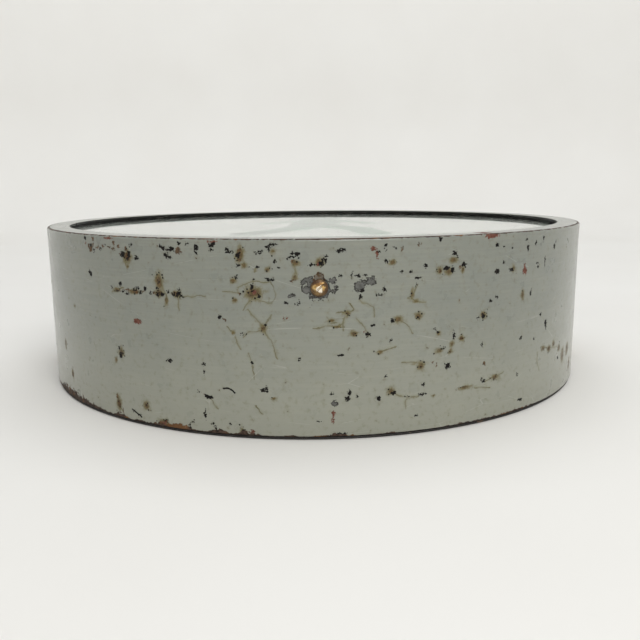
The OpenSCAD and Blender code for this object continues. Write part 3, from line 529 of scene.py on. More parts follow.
# Places seen in the photo: angle, height, half width and half height in millimetres.
# Black pits, where the paint has flaked off rusty steel
PITS = [
    (-43, 92, 0.9, 0.9), (-31, 90, 0.8, 0.6), (-33, 85.5, 1.2, 1), (-31.5, 86, 0.9, 0.8),
    (-30, 84, 1.2, 0.8), (-42.5, 75, 0.7, 0.9), (-42, 74, 0.8, 1.1), (-34, 71, 0.8, 0.8),
    (-30, 69.5, 0.8, 0.7), (-28.5, 69.5, 0.8, 0.7), (-25, 90, 0.6, 0.6), (-24.5, 89, 0.9, 0.9),
    (-23, 89, 1.6, 0.9), (-21.5, 91.5, 0.7, 0.7), (-20, 91.5, 0.7, 0.6), (-24, 86, 0.9, 0.6),
    (-23.5, 85, 1.2, 0.4), (-18.5, 89, 0.8, 1.8), (-16, 90.5, 0.9, 0.8), (-15.5, 91.5, 0.8, 0.6),
    (-16, 88.5, 0.6, 0.3), (-13.5, 89.5, 0.5, 0.8), (-13, 88, 1.1, 0.5), (-26, 70, 0.7, 0.6),
    (-26, 67.5, 0.6, 1.1), (-24, 68.5, 0.7, 0.6), (-22, 69.5, 0.5, 0.9), (-21.5, 66.5, 0.9, 0.5),
    (-15, 58, 0.7, 0.7), (-12, 77, 0.6, 0.6), (-11.7, 86.5, 0.6, 0.9), (-11.8, 82, 0.7, 0.6),
    (-8.3, 88, 1.2, 0.6), (-6.8, 89, 0.7, 0.4), (-7.1, 90.7, 0.8, 0.4), (-6.2, 91.4, 1.2, 0.4),
    (-6, 84, 0.6, 0.8), (-5.3, 81, 0.5, 0.5), (-8.6, 81.6, 0.5, 0.4), (-7.3, 76, 0.7, 0.6),
    (-6.6, 75.8, 0.7, 0.4), (-9.6, 72, 0.6, 1.2), (-8.6, 68, 0.6, 0.5), (-3.3, 87.6, 0.7, 0.7),
    (-2.6, 87.2, 1, 0.8), (-3.4, 86, 1, 0.5), (-4.4, 65.4, 0.7, 0.5), (1.8, 86.2, 0.6, 0.5),
    (1.7, 84.6, 0.4, 0.6), (1.1, 83, 0.7, 1.2), (-0.4, 82.5, 0.9, 0.4), (-7.6, 55, 0.6, 0.5),
    (3.7, 88.2, 0.8, 0.5), (4.3, 89, 0.8, 0.5), (4.8, 89, 0.3, 0.3), (9.9, 88, 0.5, 0.6),
    (10.9, 90, 0.5, 1), (11, 83.4, 1.1, 0.6), (13.5, 78.5, 0.6, 0.6), (15, 78.3, 0.4, 0.3),
    (5.8, 78.5, 0.4, 0.6), (5.7, 77, 0.5, 0.6), (6.7, 77, 0.9, 0.5), (7.9, 77.5, 0.6, 0.4),
    (4, 77.3, 0.6, 0.4), (7.2, 70.3, 0.8, 0.6), (7, 67.3, 0.6, 0.8), (10.7, 70.5, 0.8, 1.1),
    (9.9, 68.2, 0.7, 0.3), (12.2, 56, 0.9, 0.8), (9, 54.2, 0.7, 0.5), (16, 72, 0.5, 0.5),
    (20, 92.5, 0.6, 0.8), (22.7, 86, 1, 0.9), (23, 84, 0.4, 0.4), (24.4, 80.5, 1, 0.9),
    (25, 80, 0.6, 0.4), (21.2, 79, 1.3, 0.9), (22.3, 78, 0.7, 1.2), (17.5, 80.5, 0.9, 0.8),
    (16.2, 75.3, 0.9, 0.4), (31.2, 88.3, 0.7, 0.6), (32.7, 87.5, 0.5, 0.4), (31.4, 75.5, 1.2, 0.8),
    (32.8, 79.5, 0.6, 0.7), (30, 61.5, 0.8, 0.4), (31.5, 63, 0.6, 0.4), (28.7, 54.3, 1.1, 0.8),
    (27.6, 54, 0.7, 0.5), (16.2, 56.5, 0.5, 0.5), (38.5, 90, 0.6, 0.6), (39, 86, 0.7, 1.4),
    (41.3, 87.5, 0.5, 0.7), (43.7, 90, 0.7, 0.7), (34.8, 86.3, 0.5, 0.5), (34.8, 75.6, 1.3, 0.7),
    (42, 77.5, 0.7, 0.4), (42.3, 75.5, 0.6, 0.5), (44.6, 77.5, 0.4, 1.2), (48, 84.5, 0.9, 1.1),
    (40.3, 62.3, 0.6, 1.1), (44, 50, 0.9, 0.5), (46, 44.5, 1, 1.4), (46.3, 42, 0.6, 0.8),
    (-35, 34, 0.9, 1.1), (-35.3, 38, 0.6, 0.8), (-32.3, 6.4, 0.9, 0.3), (-31.3, 5, 0.8, 0.4),
    (-24.2, 35.5, 1, 0.8), (-18, 35.2, 0.6, 0.5), (-18, 31.2, 0.5, 0.9), (-19.2, 21.5, 0.5, 0.5),
    (-17.5, 19.3, 1.3, 0.6), (-18.1, 10.2, 0.4, 1.6), (-16.8, 5.8, 0.6, 0.5), (-16.3, 3.8, 0.6, 1),
    (-25.8, 4.6, 0.9, 0.3), (-21, 3.2, 0.5, 1.2), (-20.2, 6.4, 0.4, 0.4), (-11.2, 50.3, 0.9, 0.5),
    (-13.8, 6.5, 0.4, 0.4), (-11.6, 3, 0.9, 1.2), (-8.3, 24, 0.9, 0.6), (-7.7, 24.3, 0.5, 0.8),
    (-10, 37, 0.5, 0.6), (-2.5, 38.5, 0.4, 0.6), (2.5, 22.5, 0.4, 0.5), (0.4, 9.2, 0.6, 0.4),
    (3.6, 2.6, 0.9, 0.5), (4.4, 2.6, 1.2, 0.4), (4, 40.6, 0.8, 0.3), (8.2, 50, 1, 0.8),
    (11.9, 46.8, 0.6, 0.4), (11.1, 30, 0.5, 0.5), (12.3, 21.4, 0.9, 0.7), (14.6, 19, 0.6, 0.3),
    (17.4, 24, 0.6, 0.5), (17.2, 19.4, 1.4, 0.6), (10, 19.3, 1.2, 1), (6.5, 20.7, 0.6, 0.5),
    (5.3, 22.5, 0.5, 1.2), (5, 20, 0.8, 0.9), (16.3, 9.2, 0.6, 0.5), (19.2, 50.3, 0.5, 0.5),
    (19.9, 49, 0.6, 0.6), (22.9, 46.5, 0.5, 1.3), (21, 41, 0.6, 0.4), (21.8, 32, 1.3, 1.1),
    (28.6, 40.4, 0.5, 0.8), (28.7, 22.8, 0.4, 0.5), (29.2, 21.6, 0.8, 0.6), (38, 40, 0.7, 0.5),
    (37.5, 21, 0.6, 0.8), (38.2, 7, 0.6, 0.4), (38.8, 6.7, 0.7, 0.5), (42.2, 37.5, 0.8, 0.8),
    (52.7, 21.5, 0.8, 0.9), (-33.5, 67.2, 0.7, 0.5), (-32.5, 66.4, 0.9, 0.5), (-30.8, 68.6, 0.8, 0.6),
    (-29.6, 67.4, 0.7, 0.7), (-27.3, 67.6, 0.8, 0.6), (-24.9, 67.2, 0.9, 0.6), (-22.9, 67.3, 0.8, 0.8),
    (-21.9, 68.2, 0.8, 0.6), (-36.2, 68.6, 0.6, 0.5), (-35.2, 66.8, 0.7, 0.5), (-41.4, 88.6, 0.9, 0.5),
    (-40.6, 86.2, 0.7, 0.6), (-38.6, 87.4, 0.8, 0.5), (-37.4, 89.2, 0.8, 0.4), (-33.1, 84.6, 0.9, 0.7),
    (-32.2, 83, 0.8, 0.8), (-31.6, 85, 0.9, 0.6),
]
# Dark brown rust
BROWN = [
    (-41.5, 87, 1.6, 2), (-39.5, 88, 1.5, 0.9), (-38, 88.5, 1.6, 0.9), (-40.5, 92, 1.1, 1.1),
    (-35, 90.5, 0.9, 1.4), (-34, 89, 1.3, 0.8), (-32, 84.5, 2, 1.6), (-32.3, 88, 1, 1.2),
    (-32.2, 68, 2.2, 0.8), (-30.3, 67.5, 1.5, 0.8), (-21.7, 88.2, 1.8, 1.7), (-29, 68, 1, 0.7),
    (-22.8, 68.4, 1.2, 0.8), (-14.1, 56.8, 0.9, 0.8), (-11.5, 89, 1, 1.2), (-11.4, 84.2, 1, 1),
    (-11.7, 68.6, 0.9, 0.6), (-3.3, 84, 1.2, 0.8), (-3.2, 77, 0.9, 0.5), (-3.5, 75.2, 0.9, 0.4),
    (13.6, 89.2, 0.8, 0.8), (16.3, 90.6, 0.7, 1), (23.7, 79.2, 0.7, 0.9), (20, 77.3, 0.7, 1.2),
    (29.2, 30.7, 0.8, 1.3), (-36.6, 12, 0.7, 1.3), (-36.3, 10, 0.7, 1.1), (-36, 8, 0.8, 0.9),
    (-35.4, 5.5, 0.6, 1.4), (-52.5, 15.5, 0.9, 1.6), (19, 34.5, 0.7, 0.6), (19.7, 33, 0.4, 0.8),
    (23.7, 19.6, 0.7, 0.5), (24.3, 44.8, 0.9, 0.7), (-17.2, 10.7, 0.5, 0.7), (46, 30, 0.8, 0.8),
    (48, 29.5, 0.8, 0.8), (-34, 67.3, 1.6, 0.5), (-26.5, 67.6, 1.8, 0.6), (-24.2, 67.8, 1.4, 0.7),
    (-42, 88.2, 1.4, 1), (-40.8, 88.8, 1.4, 0.8), (-36.4, 88.6, 1.6, 0.6), (-35.4, 87.6, 1, 0.7),
    (-33.4, 85.6, 1.6, 0.8),
]
# Red primer, where only the grey coat has gone
PRIMER = [
    (-30.5, 53, 2.6, 1.4), (30, 93, 4.5, 1.3), (38.3, 74.5, 2, 1.8), (38.2, 77, 0.9, 1),
    (-9.2, 70, 1.2, 0.8), (-4.9, 58.3, 0.5, 0.5), (-4.3, 58.3, 0.6, 0.5), (9, 89.3, 1.3, 1),
    (9.6, 86.5, 0.8, 2), (0.6, 82.6, 0.8, 0.8), (2.8, 13, 0.9, 1.2), (2.7, 9.5, 0.9, 1.4),
    (-10.2, 2.8, 1.3, 1.7), (7.6, 51.2, 0.8, 0.5), (-26, 3.2, 2.2, 1.1), (-23, 2.6, 2.6, 0.9),
    (-43, 89.5, 0.8, 0.6), (-36.5, 92.8, 3, 0.6), (-18.5, 20.4, 1.4, 0.4), (-15.5, 92.6, 3, 0.5),
]
# Bare steel inside a dark outline
BARE = [
    (7, 73, 2.6, 1.9), (6.4, 71, 1, 0.8), (8.6, 74.6, 2.2, 1.6), (9, 76, 1.2, 1),
    (-3.5, 68.6, 0.9, 0.5), (-2.4, 65, 0.9, 0.7), (3, 17.7, 1.3, 1.3), (12.2, 89.3, 1, 0.7),
    (48.5, 87, 0.7, 0.7),
]
# Ochre stains that fade into the paint
STAINS = [
    (-32, 84, 2.6, 2.6), (-32, 79.5, 0.8, 0.9), (-35, 67.5, 1.8, 1.1), (-31, 67.5, 3, 1),
    (-25.7, 68, 2.2, 1.6), (-25.6, 73, 2, 3.5), (-24.3, 64.5, 0.9, 2.4), (-22.3, 68, 1.8, 1.4),
    (-12.6, 75, 1.4, 1), (-12.4, 66, 1.2, 1), (-11.4, 87, 1.7, 3.6), (-10.8, 82, 1.1, 1.1),
    (-6.2, 88.6, 1.3, 1.1), (-9.1, 79.8, 0.8, 0.5), (-7.1, 80.2, 1, 1), (-9.4, 69.5, 3.6, 2.6),
    (-2.8, 83.2, 1.6, 1.2), (-3, 77, 1.2, 1.1), (0.8, 83.5, 1.8, 1.6), (-8, 53.4, 1.4, 1.6),
    (12, 82.8, 1.4, 1), (13, 56.4, 1.8, 1.4), (15.3, 68, 0.9, 1.8), (16.4, 57.4, 1.6, 1.5),
    (22.4, 82.5, 2, 1.2), (24.2, 77.6, 0.8, 1.2), (21.6, 77.4, 1.8, 1.4), (20, 77.6, 1.1, 1.6),
    (28.6, 55, 1.8, 1.6), (35.2, 76, 1.2, 1.5), (38, 62.3, 1.3, 2), (-34.8, 36, 1.5, 2.4),
    (-36.3, 31.5, 0.9, 1.2), (-36.3, 9, 1.5, 3.4), (-29.6, 10.5, 1.9, 1.8), (-55.5, 31, 1.5, 2.4),
    (-52.5, 15.5, 1.4, 2.2), (-26, 3.4, 2.6, 1.6), (-11.8, 3, 1.2, 1.6), (10.2, 41.3, 1.5, 0.8),
    (17, 33.2, 1.6, 1.8), (15.9, 35, 1, 0.5), (12, 22.3, 1.5, 1.4), (20, 48.4, 1, 1),
    (24.4, 44.7, 1.5, 1.2), (22.5, 42.5, 1, 1.4), (20.2, 40, 1.6, 1.1), (22.3, 39, 1, 0.9),
    (31.8, 22.5, 2.2, 1.2), (25.4, 19.9, 3.4, 0.8), (45.5, 31, 1.6, 1.2), (48, 29.5, 2, 1.4),
    (50, 31, 1.6, 1.4), (53, 27, 1.6, 1.6), (55.5, 21, 2.2, 3.4), (59, 23, 2.4, 3), (62, 12, 2.4, 3),
    (2.6, 57, 1.4, 0.6), (3.4, 54, 1.6, 0.6), (5, 60, 1.2, 1.2), (16, 64.5, 1.2, 0.6),
    (19.4, 18, 0.9, 0.6), (-12.8, 51, 0.8, 0.9), (-6.6, 20, 1, 0.6), (6, 50.5, 2, 1.2), (-49, 55, 1, 1),
]
# Cracks that rust has stained, as points of angle and height
CRACKS = [
    [(-10.3, 62), (-9.3, 58.5), (-8.3, 55)], [(-8, 53), (-9.5, 51.8), (-10.6, 51), (-11, 49.5)],
    [(-7.7, 52.5), (-6.8, 47), (-6.2, 43), (-5.8, 40)], [(-7.5, 55.5), (-6.8, 59)],
    [(-21.5, 67), (-19, 67.3), (-17.5, 67.3)], [(-22, 66), (-22, 61)],
    [(-26, 77), (-25, 72), (-24.3, 66), (-24.6, 62.5)], [(-11.6, 72.5), (-9.5, 75), (-7, 74.5)],
    [(-12, 69.5), (-14, 70)], [(-9, 66.8), (-7, 65)], [(-9.8, 66), (-11, 62.5)],
    [(-6.6, 73), (-6, 69), (-6.6, 66)], [(-12.4, 48.5), (-11.7, 44)], [(-13.6, 53), (-12.8, 51)],
    [(-17, 18.5), (-16.6, 16.5), (-15.9, 14.5)], [(-9.4, 15.6), (-8.6, 13)],
    [(0, 53.6), (1.6, 54.4), (3.4, 54.2)], [(2, 58), (2.4, 56.4), (4, 55.6)], [(4.6, 57.5), (4.4, 53)],
    [(3.6, 60.4), (6, 61.4), (5.4, 64)], [(13.5, 55.6), (14.8, 52.6), (15.4, 50)],
    [(16, 71.5), (15.6, 69), (14.8, 66.5)], [(15, 66.5), (16, 64.6), (17.4, 64)],
    [(13, 20.6), (14.6, 18.6), (16.4, 19)], [(14.5, 18), (14.4, 14)],
    [(43.6, 29), (43.8, 24), (44.4, 20)], [(-33.5, 68.5), (-36, 66.5)], [(10.5, 41.6), (12.4, 43.4)],
    [(17.4, 34), (15.4, 35.6), (14, 35.4)], [(29.8, 21.4), (31.8, 22.4), (33.6, 24)],
    [(27.6, 19.4), (30.4, 17.4)], [(-36.6, 13), (-36.2, 9), (-35.4, 4.6)],
    [(7, 66), (9, 62.6), (9.2, 59)], [(6.6, 57), (7.6, 53.6), (8.2, 50)],
    [(45, 32), (48, 30), (52, 28.6)], [(-32.6, 83), (-32.2, 79.6)], [(-3, 82), (-2.6, 79.4)],
    [(-10, 38), (-10.4, 40.6)], [(-9.6, 30), (-9.8, 35)],
]
# Thin black scars
SCARS = [
    [(-14.6, 24), (-14, 24.2), (-13.4, 23.5), (-13, 22.4)], [(-17.8, 20), (-16.8, 19)],
    [(-32.8, 7), (-31, 4.4)],
]

# The bare patch round each side screw, as angle from the screw, height and half sizes
SCREW_PATCH = [
    (-2, 75, 1.5, 1.4), (-1.3, 76, 1, 1.4), (-2.1, 71.5, 1.6, 2), (-1.4, 67.4, 0.5, 1.6),
    (0, 72, 4.9, 4.9), (2.1, 75.3, 1.2, 1.3), (2.3, 72.5, 0.9, 1.4), (2.5, 70.4, 1.1, 0.9),
]
# Dark brown round the top of each slot
SLOT_RIM = (0, 76, 2.7, 3)
SCREW_ANGLES = (0.7, 120.7, 240.7)
# The photo shows the drum as far as this angle on either side
SEEN_TO = 67


def to_the_right(angle, height):
    """Where a mark of the photo is repeated, mirrored and bent, on the right of the back."""
    return 119 - angle + 3 * math.sin(height / 13), height + 4 * math.sin(angle / 9)


def to_the_left(angle, height):
    """Where a mark of the photo is repeated, upside down and bent, on the left of the back."""
    return 241 + angle + 3 * math.sin(height / 17), 95 - height + 3 * math.sin(angle / 11)


def spread(marks, line=False):
    """The photo's marks in their place, and again on the part of the drum that it doesn't show."""
    whole = list(marks)
    for move in (to_the_right, to_the_left):
        for mark in marks:
            moved = [move(*point) for point in mark] if line else (*move(*mark[:2]), *mark[2:])
            angle = moved[0][0] if line else moved[0]
            if SEEN_TO < angle < 360 - SEEN_TO:
                whole.append(moved)
    return whole


def all_marks():
    marks = {"pit": spread(PITS), "brown": spread(BROWN), "primer": spread(PRIMER), "bare": spread(BARE)}
    marks["stain"] = spread(STAINS)
    marks["crack"] = spread(CRACKS, line=True)
    marks["scar"] = spread(SCARS, line=True)
    for screw in SCREW_ANGLES:
        marks["bare"] += [(screw + angle, *rest) for angle, *rest in SCREW_PATCH]
        marks["brown"].append((screw + SLOT_RIM[0], *SLOT_RIM[1:]))
    return marks


def across_mm(angle, at):
    """Distance round the drum from one angle, in millimetres."""
    return np.radians((angle - at + 180) % 360 - 180) * DRUM_R_MM


def patches(angle, height, marks):
    """For each point, how far it is inside the nearest mark's edge, in millimetres, plus REACH_MM."""
    best = np.zeros(len(angle))
    for at, up, wide, tall in marks:
        across = across_mm(angle, at)
        near = (abs(across) < wide + REACH_MM) & (abs(height - up) < tall + REACH_MM)
        away = np.hypot(across[near] / wide, (height[near] - up) / tall)
        inside = (1 - away) * min(wide, tall)
        best[near] = np.maximum(best[near], inside + REACH_MM)
    return best


def strokes(angle, height, routes):
    """For each point, REACH_MM less its distance from the nearest line, and its distance to the side of it."""
    best = np.zeros(len(angle))
    side = np.full(len(angle), float(REACH_MM))
    for route in routes:
        for (a0, h0), (a1, h1) in zip(route, route[1:]):
            across = across_mm(angle, a0)
            up = height - h0
            run = across_mm(a1, a0)
            rise = h1 - h0
            near = (abs(across) < abs(run) + REACH_MM) & (abs(up) < abs(rise) + REACH_MM)
            length = math.hypot(run, rise)
            along = np.clip((across[near] * run + up[near] * rise) / length ** 2, 0, 1)
            away = np.hypot(across[near] - along * run, up[near] - along * rise)
            nearer = REACH_MM - away > best[near]
            left = (up[near] * run - across[near] * rise) / length
            side[near] = np.where(nearer, left, side[near])
            best[near] = np.maximum(best[near], REACH_MM - away)
    return best, side


def halos(angle, height, marks, spread_by):
    """For each point, 1 in the middle of a mark, falling softly to 0 at spread_by times its size."""
    best = np.zeros(len(angle))
    for at, up, wide, tall in marks:
        away = (across_mm(angle, at) / (wide * spread_by)) ** 2 + ((height - up) / (tall * spread_by)) ** 2
        best = np.maximum(best, np.exp(-1.6 * away))
    return best


# ---- Drum cover ----

cover_low, cover_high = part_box("drum_cover")
DRUM_R_MM = cover_high.x / MM
BAND_LOW_MM = cover_low.z / MM
FRONT_MM = cover_high.z / MM
SHEET_MM = 1.5
LIP_MM = 13
BEND_MM = 1.4
SCREW_DROP_MM = 22
# Adjusting slots over the screws, and notches in the lower edge for the hinge and the clamp straps
SLOT_HALF_MM = 2.0
SLOT_RISE_MM = 6.4
NOTCH_TOP = 0.004
HINGE_HALF = 0.031
STRAP_HALF = 0.0085
# Cutters reach from inside the band to outside it, and from under its edge
CUT_FROM = 0.15
CUT_TO = 0.18
CUT_BELOW = -0.01
SLOT_CUT_TO = 0.175
SLOT_CUT_FROM = 0.160
# Mesh steps: degrees round the side that the photo shows and round the rest, and rows in millimetres
NEAR_HALF = 75
NEAR_STEP = 0.32
FAR_STEP = 0.65
ROW_MM = 1.0
# Where the paint has worn off along the cover's lower edge, as angle, half width in degrees and height
EDGE_WEAR = [
    (-54, 8, 7.5), (-43, 4, 1.5), (-36, 1.5, 4), (-31, 1.5, 1.5), (-26, 2.5, 3.5), (-22, 2, 3),
    (-16, 1.5, 3.5), (-11, 1.5, 3.5), (-4, 1, 1), (3, 2.5, 2), (12, 1, 1), (38, 1.5, 1), (90, 8, 6),
    (133, 5, 5), (170, 10, 3), (215, 6, 6), (262, 4, 4),
]


def cover_profile():
    """Outline of the cover's steel in millimetres, from its outer bottom edge up, over the lip and down."""
    out_r = DRUM_R_MM
    in_r = DRUM_R_MM - SHEET_MM
    lip_r = DRUM_R_MM - LIP_MM
    soft = 0.3
    bend_z = FRONT_MM - BEND_MM
    points = [(out_r - soft, BAND_LOW_MM), (out_r, BAND_LOW_MM + soft)]
    rows = int((bend_z - BAND_LOW_MM - soft) / ROW_MM)
    for z in np.linspace(BAND_LOW_MM + soft, bend_z, rows)[1:]:
        points.append((out_r, z))
    for step in range(1, 8):
        a = math.radians(90 * step / 7)
        points.append((out_r - BEND_MM + BEND_MM * math.cos(a), bend_z + BEND_MM * math.sin(a)))
    points.append((out_r - BEND_MM - 0.7, FRONT_MM))
    for r in np.linspace(out_r - BEND_MM, lip_r + soft, 5)[1:]:
        points.append((r, FRONT_MM))
    under_lip = FRONT_MM - SHEET_MM
    points += [(lip_r, FRONT_MM - soft), (lip_r, under_lip + soft), (lip_r + soft, under_lip)]
    points += [(in_r - 2, under_lip), (in_r, under_lip)]
    for z in (70, 45, 20, BAND_LOW_MM + soft):
        points.append((in_r, z))
    points += [(in_r + soft, BAND_LOW_MM)]
    return points


def closed_lathe(name, profile, angles):
    """A turned mesh whose outline closes on itself, so that it is solid."""
    mesh = lathe(name, profile + [profile[0]], angles)
    shape = bmesh.new()
    shape.from_mesh(mesh)
    bmesh.ops.remove_doubles(shape, verts=shape.verts, dist=1e-6)
    bmesh.ops.recalc_face_normals(shape, faces=shape.faces)
    shape.to_mesh(mesh)
    shape.free()
    return mesh


def keyhole(angle):
    """The cutter for one adjusting slot: a bar with round ends, from the screw towards the front."""
    shape = bmesh.new()
    half = SLOT_HALF_MM * MM
    low = (FRONT_MM - SCREW_DROP_MM) * MM
    high = low + SLOT_RISE_MM * MM - half
    outline = []
    for step in range(13):
        a = math.radians(180 * step / 12)
        outline.append((half * math.cos(a), high + half * math.sin(a)))
    for step in range(13):
        a = math.radians(180 + 180 * step / 12)
        outline.append((half * math.cos(a), low + half * math.sin(a)))
    front = [shape.verts.new((x, -SLOT_CUT_TO, z)) for x, z in outline]
    back = [shape.verts.new((x, -SLOT_CUT_FROM, z)) for x, z in outline]
    shape.faces.new(front)
    shape.faces.new(back[::-1])
    count = len(outline)
    for i in range(count):
        shape.faces.new((front[i], back[i], back[(i + 1) % count], front[(i + 1) % count]))
    bmesh.ops.recalc_face_normals(shape, faces=shape.faces)
    bmesh.ops.rotate(shape, verts=shape.verts, matrix=Matrix.Rotation(math.radians(angle), 3, "Z"))
    return shape


def box_shape(low, high):
    shape = bmesh.new()
    bmesh.ops.create_cube(shape, size=1)
    size = Vector(high) - Vector(low)
    middle = (Vector(high) + Vector(low)) / 2
    for vert in shape.verts:
        vert.co = middle + Vector((vert.co.x * size.x, vert.co.y * size.y, vert.co.z * size.z))
    return shape


def joined(shapes, name):
    """One mesh from several bmesh shapes, which are freed."""
    whole = bmesh.new()
    for shape in shapes:
        part = bpy.data.meshes.new("part")
        shape.to_mesh(part)
        shape.free()
        whole.from_mesh(part)
        bpy.data.meshes.remove(part)
    mesh = bpy.data.meshes.new(name)
    whole.to_mesh(mesh)
    whole.free()
    return mesh


def cut(piece, shapes):
    """Cuts the shapes out of the piece's mesh for good."""
    cutter = link("cutter", joined(shapes, "cutter"))
    boolean = piece.modifiers.new("cut", "BOOLEAN")
    boolean.operation = "DIFFERENCE"
    boolean.solver = "MANIFOLD"
    boolean.object = cutter
    made = bpy.data.meshes.new_from_object(piece.evaluated_get(bpy.context.evaluated_depsgraph_get()))
    made.materials.clear()
    piece.modifiers.clear()
    piece.data = made
    bpy.data.objects.remove(cutter)


def make_cover(material):
    near = np.arange(-NEAR_HALF, NEAR_HALF, NEAR_STEP)
    far = np.arange(NEAR_HALF, 360 - NEAR_HALF, FAR_STEP)
    angles = np.radians(np.concatenate([near, far]))
    profile = [(r * MM, z * MM) for r, z in cover_profile()]
    piece = link("drum_shell", closed_lathe("drum_shell", profile, angles))
    shapes = [keyhole(angle) for angle in SCREW_ANGLES]
    shapes.append(box_shape((-HINGE_HALF, CUT_FROM, CUT_BELOW), (HINGE_HALF, CUT_TO, NOTCH_TOP)))
    for side in (-1, 1):
        inner, outer = sorted((side * CUT_FROM, side * CUT_TO))
        shapes.append(box_shape((inner, -STRAP_HALF, CUT_BELOW), (outer, STRAP_HALF, NOTCH_TOP)))
    cut(piece, shapes)
    mark_cover(piece.data)
    piece.data.materials.append(material)
    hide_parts("drum_cover")
    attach(piece, "cover")
    return piece


def save_field(mesh, name, values):
    mesh.attributes.new(name, "FLOAT", "POINT").data.foreach_set("value", values.astype(np.float32))


def ripple(angle, height, rng, count, longest_mm):
    """Soft random waves over the band, from -1 to 1."""
    total = np.zeros(len(angle))
    for _ in range(count):
        turns = rng.randrange(1, 14)
        rise = 2 * math.pi / rng.uniform(longest_mm / 4, longest_mm)
        total += np.sin(np.radians(angle) * turns + height * rise + rng.uniform(0, 6.3))
    return total / count


# How deep each kind of chip is pressed into the steel, in millimetres
PRESSED_MM = {"bare": 0.1, "primer": 0.08, "brown": 0.12, "pit": 0.2}
# Mean depth of the soft waves in the band, in millimetres
DENT_MM = 0.12
# A point this near to the outer face counts as on it
SKIN_MM = 0.4


def mark_cover(mesh):
    """Gives the cover its fields, and presses real dents and chips into its outside."""
    count = len(mesh.vertices)
    place = np.zeros(count * 3)
    mesh.vertices.foreach_get("co", place)
    place = place.reshape(-1, 3)
    radius = np.hypot(place[:, 0], place[:, 1]) / MM
    height = place[:, 2] / MM
    angle = np.degrees(np.arctan2(place[:, 0], -place[:, 1]))
    on_lip = (height > FRONT_MM - SKIN_MM) & (radius > DRUM_R_MM - LIP_MM + SKIN_MM)
    outside = (radius > DRUM_R_MM - SKIN_MM) | on_lip
    marks = all_marks()
    fields = {kind: patches(angle, height, marks[kind]) * outside for kind in PRESSED_MM}
    for kind in ("crack", "scar"):
        close, side = strokes(angle, height, marks[kind])
        fields[kind] = close * outside
        fields[kind + "_side"] = side
    fields["stain"] = halos(angle, height, marks["stain"], 1.5) * outside
    fields["rusty"] = halos(angle, height, marks["stain"] + marks["pit"], 3) * outside
    rng = random.Random(5)
    uneven = ripple(angle, height, rng, 9, 400)
    up_bend = (height - (FRONT_MM - BEND_MM)) / BEND_MM
    corner = np.clip((up_bend - 0.5) / 0.3, 0, 1) * np.clip(1 - (DRUM_R_MM - BEND_MM - radius) / 0.7, 0, 1)
    worn_mm = 0.2 + uneven
    for at, wide, tall in EDGE_WEAR:
        worn_mm += tall * np.exp(-(across_mm(angle, at) / across_mm(wide, 0)) ** 2)
    worn_mm = np.maximum(worn_mm, 0.3)
    base = np.clip(1.1 - (height - BAND_LOW_MM) / worn_mm, 0, 1) * (radius > DRUM_R_MM - 1)
    # Painted shade: this field marks the lip's inner edge, which the paint turns near-black for the shadowed
    # gap round the glass.
    fields["gap_shade"] = np.where((radius < DRUM_R_MM - LIP_MM + SKIN_MM) & (height < FRONT_MM - 0.1), 0.95, 0)
    fields["wear"] = (corner * (0.75 + 0.4 * uneven) + base) * outside
    fields["height"] = height / FRONT_MM
    for name, values in fields.items():
        save_field(mesh, name, values)
    gone = np.zeros(count)
    for kind, depth in PRESSED_MM.items():
        gone = np.maximum(gone, np.clip(fields[kind] - REACH_MM + 0.3, 0, 0.6) / 0.6 * depth)
    band = (radius > DRUM_R_MM - 0.1) & (height < FRONT_MM - BEND_MM + 0.1)
    inward = (DENT_MM * (1 + ripple(angle, height, rng, 12, 260)) + gone) * band
    inward *= np.clip((FRONT_MM - BEND_MM - height) / 6, 0.1, 1)
    shrink = 1 - inward / radius
    place[:, 0] *= shrink
    place[:, 1] *= shrink
    mesh.vertices.foreach_set("co", place.ravel())
    mesh.update()
    mesh.shade_smooth()
    mesh.set_sharp_from_angle(angle=math.radians(35))


# ---- Side screws ----

HEAD_R_MM = 4
HEAD_H_MM = 2.4
SHANK_R_MM = 1.9
SHANK_MM = 7.5
SLOT_FLOOR_MM = 1.7
SLOT_SIDE_MM = 0.4
DENTED_FROM_MM = 0.9
CROWN_DENT_MM = 0.05


def screw_profile():
    """Outline of a round-head screw as (radius, height over the drum), from the shank's end to the crown."""
    points = [(0.05, -SHANK_MM), (SHANK_R_MM - 0.4, -SHANK_MM)]
    points += [(SHANK_R_MM, -SHANK_MM + 0.5), (SHANK_R_MM, 0.02)]
    points += [(HEAD_R_MM - 0.25, 0.02), (HEAD_R_MM - 0.03, 0.2), (HEAD_R_MM, 0.6)]
    for step in range(1, 15):
        a = math.radians(90 * step / 15)
        points.append((HEAD_R_MM * math.cos(a), 0.6 + (HEAD_H_MM - 0.62) * math.sin(a)))
    points.append((0.05, HEAD_H_MM - 0.02))
    return points


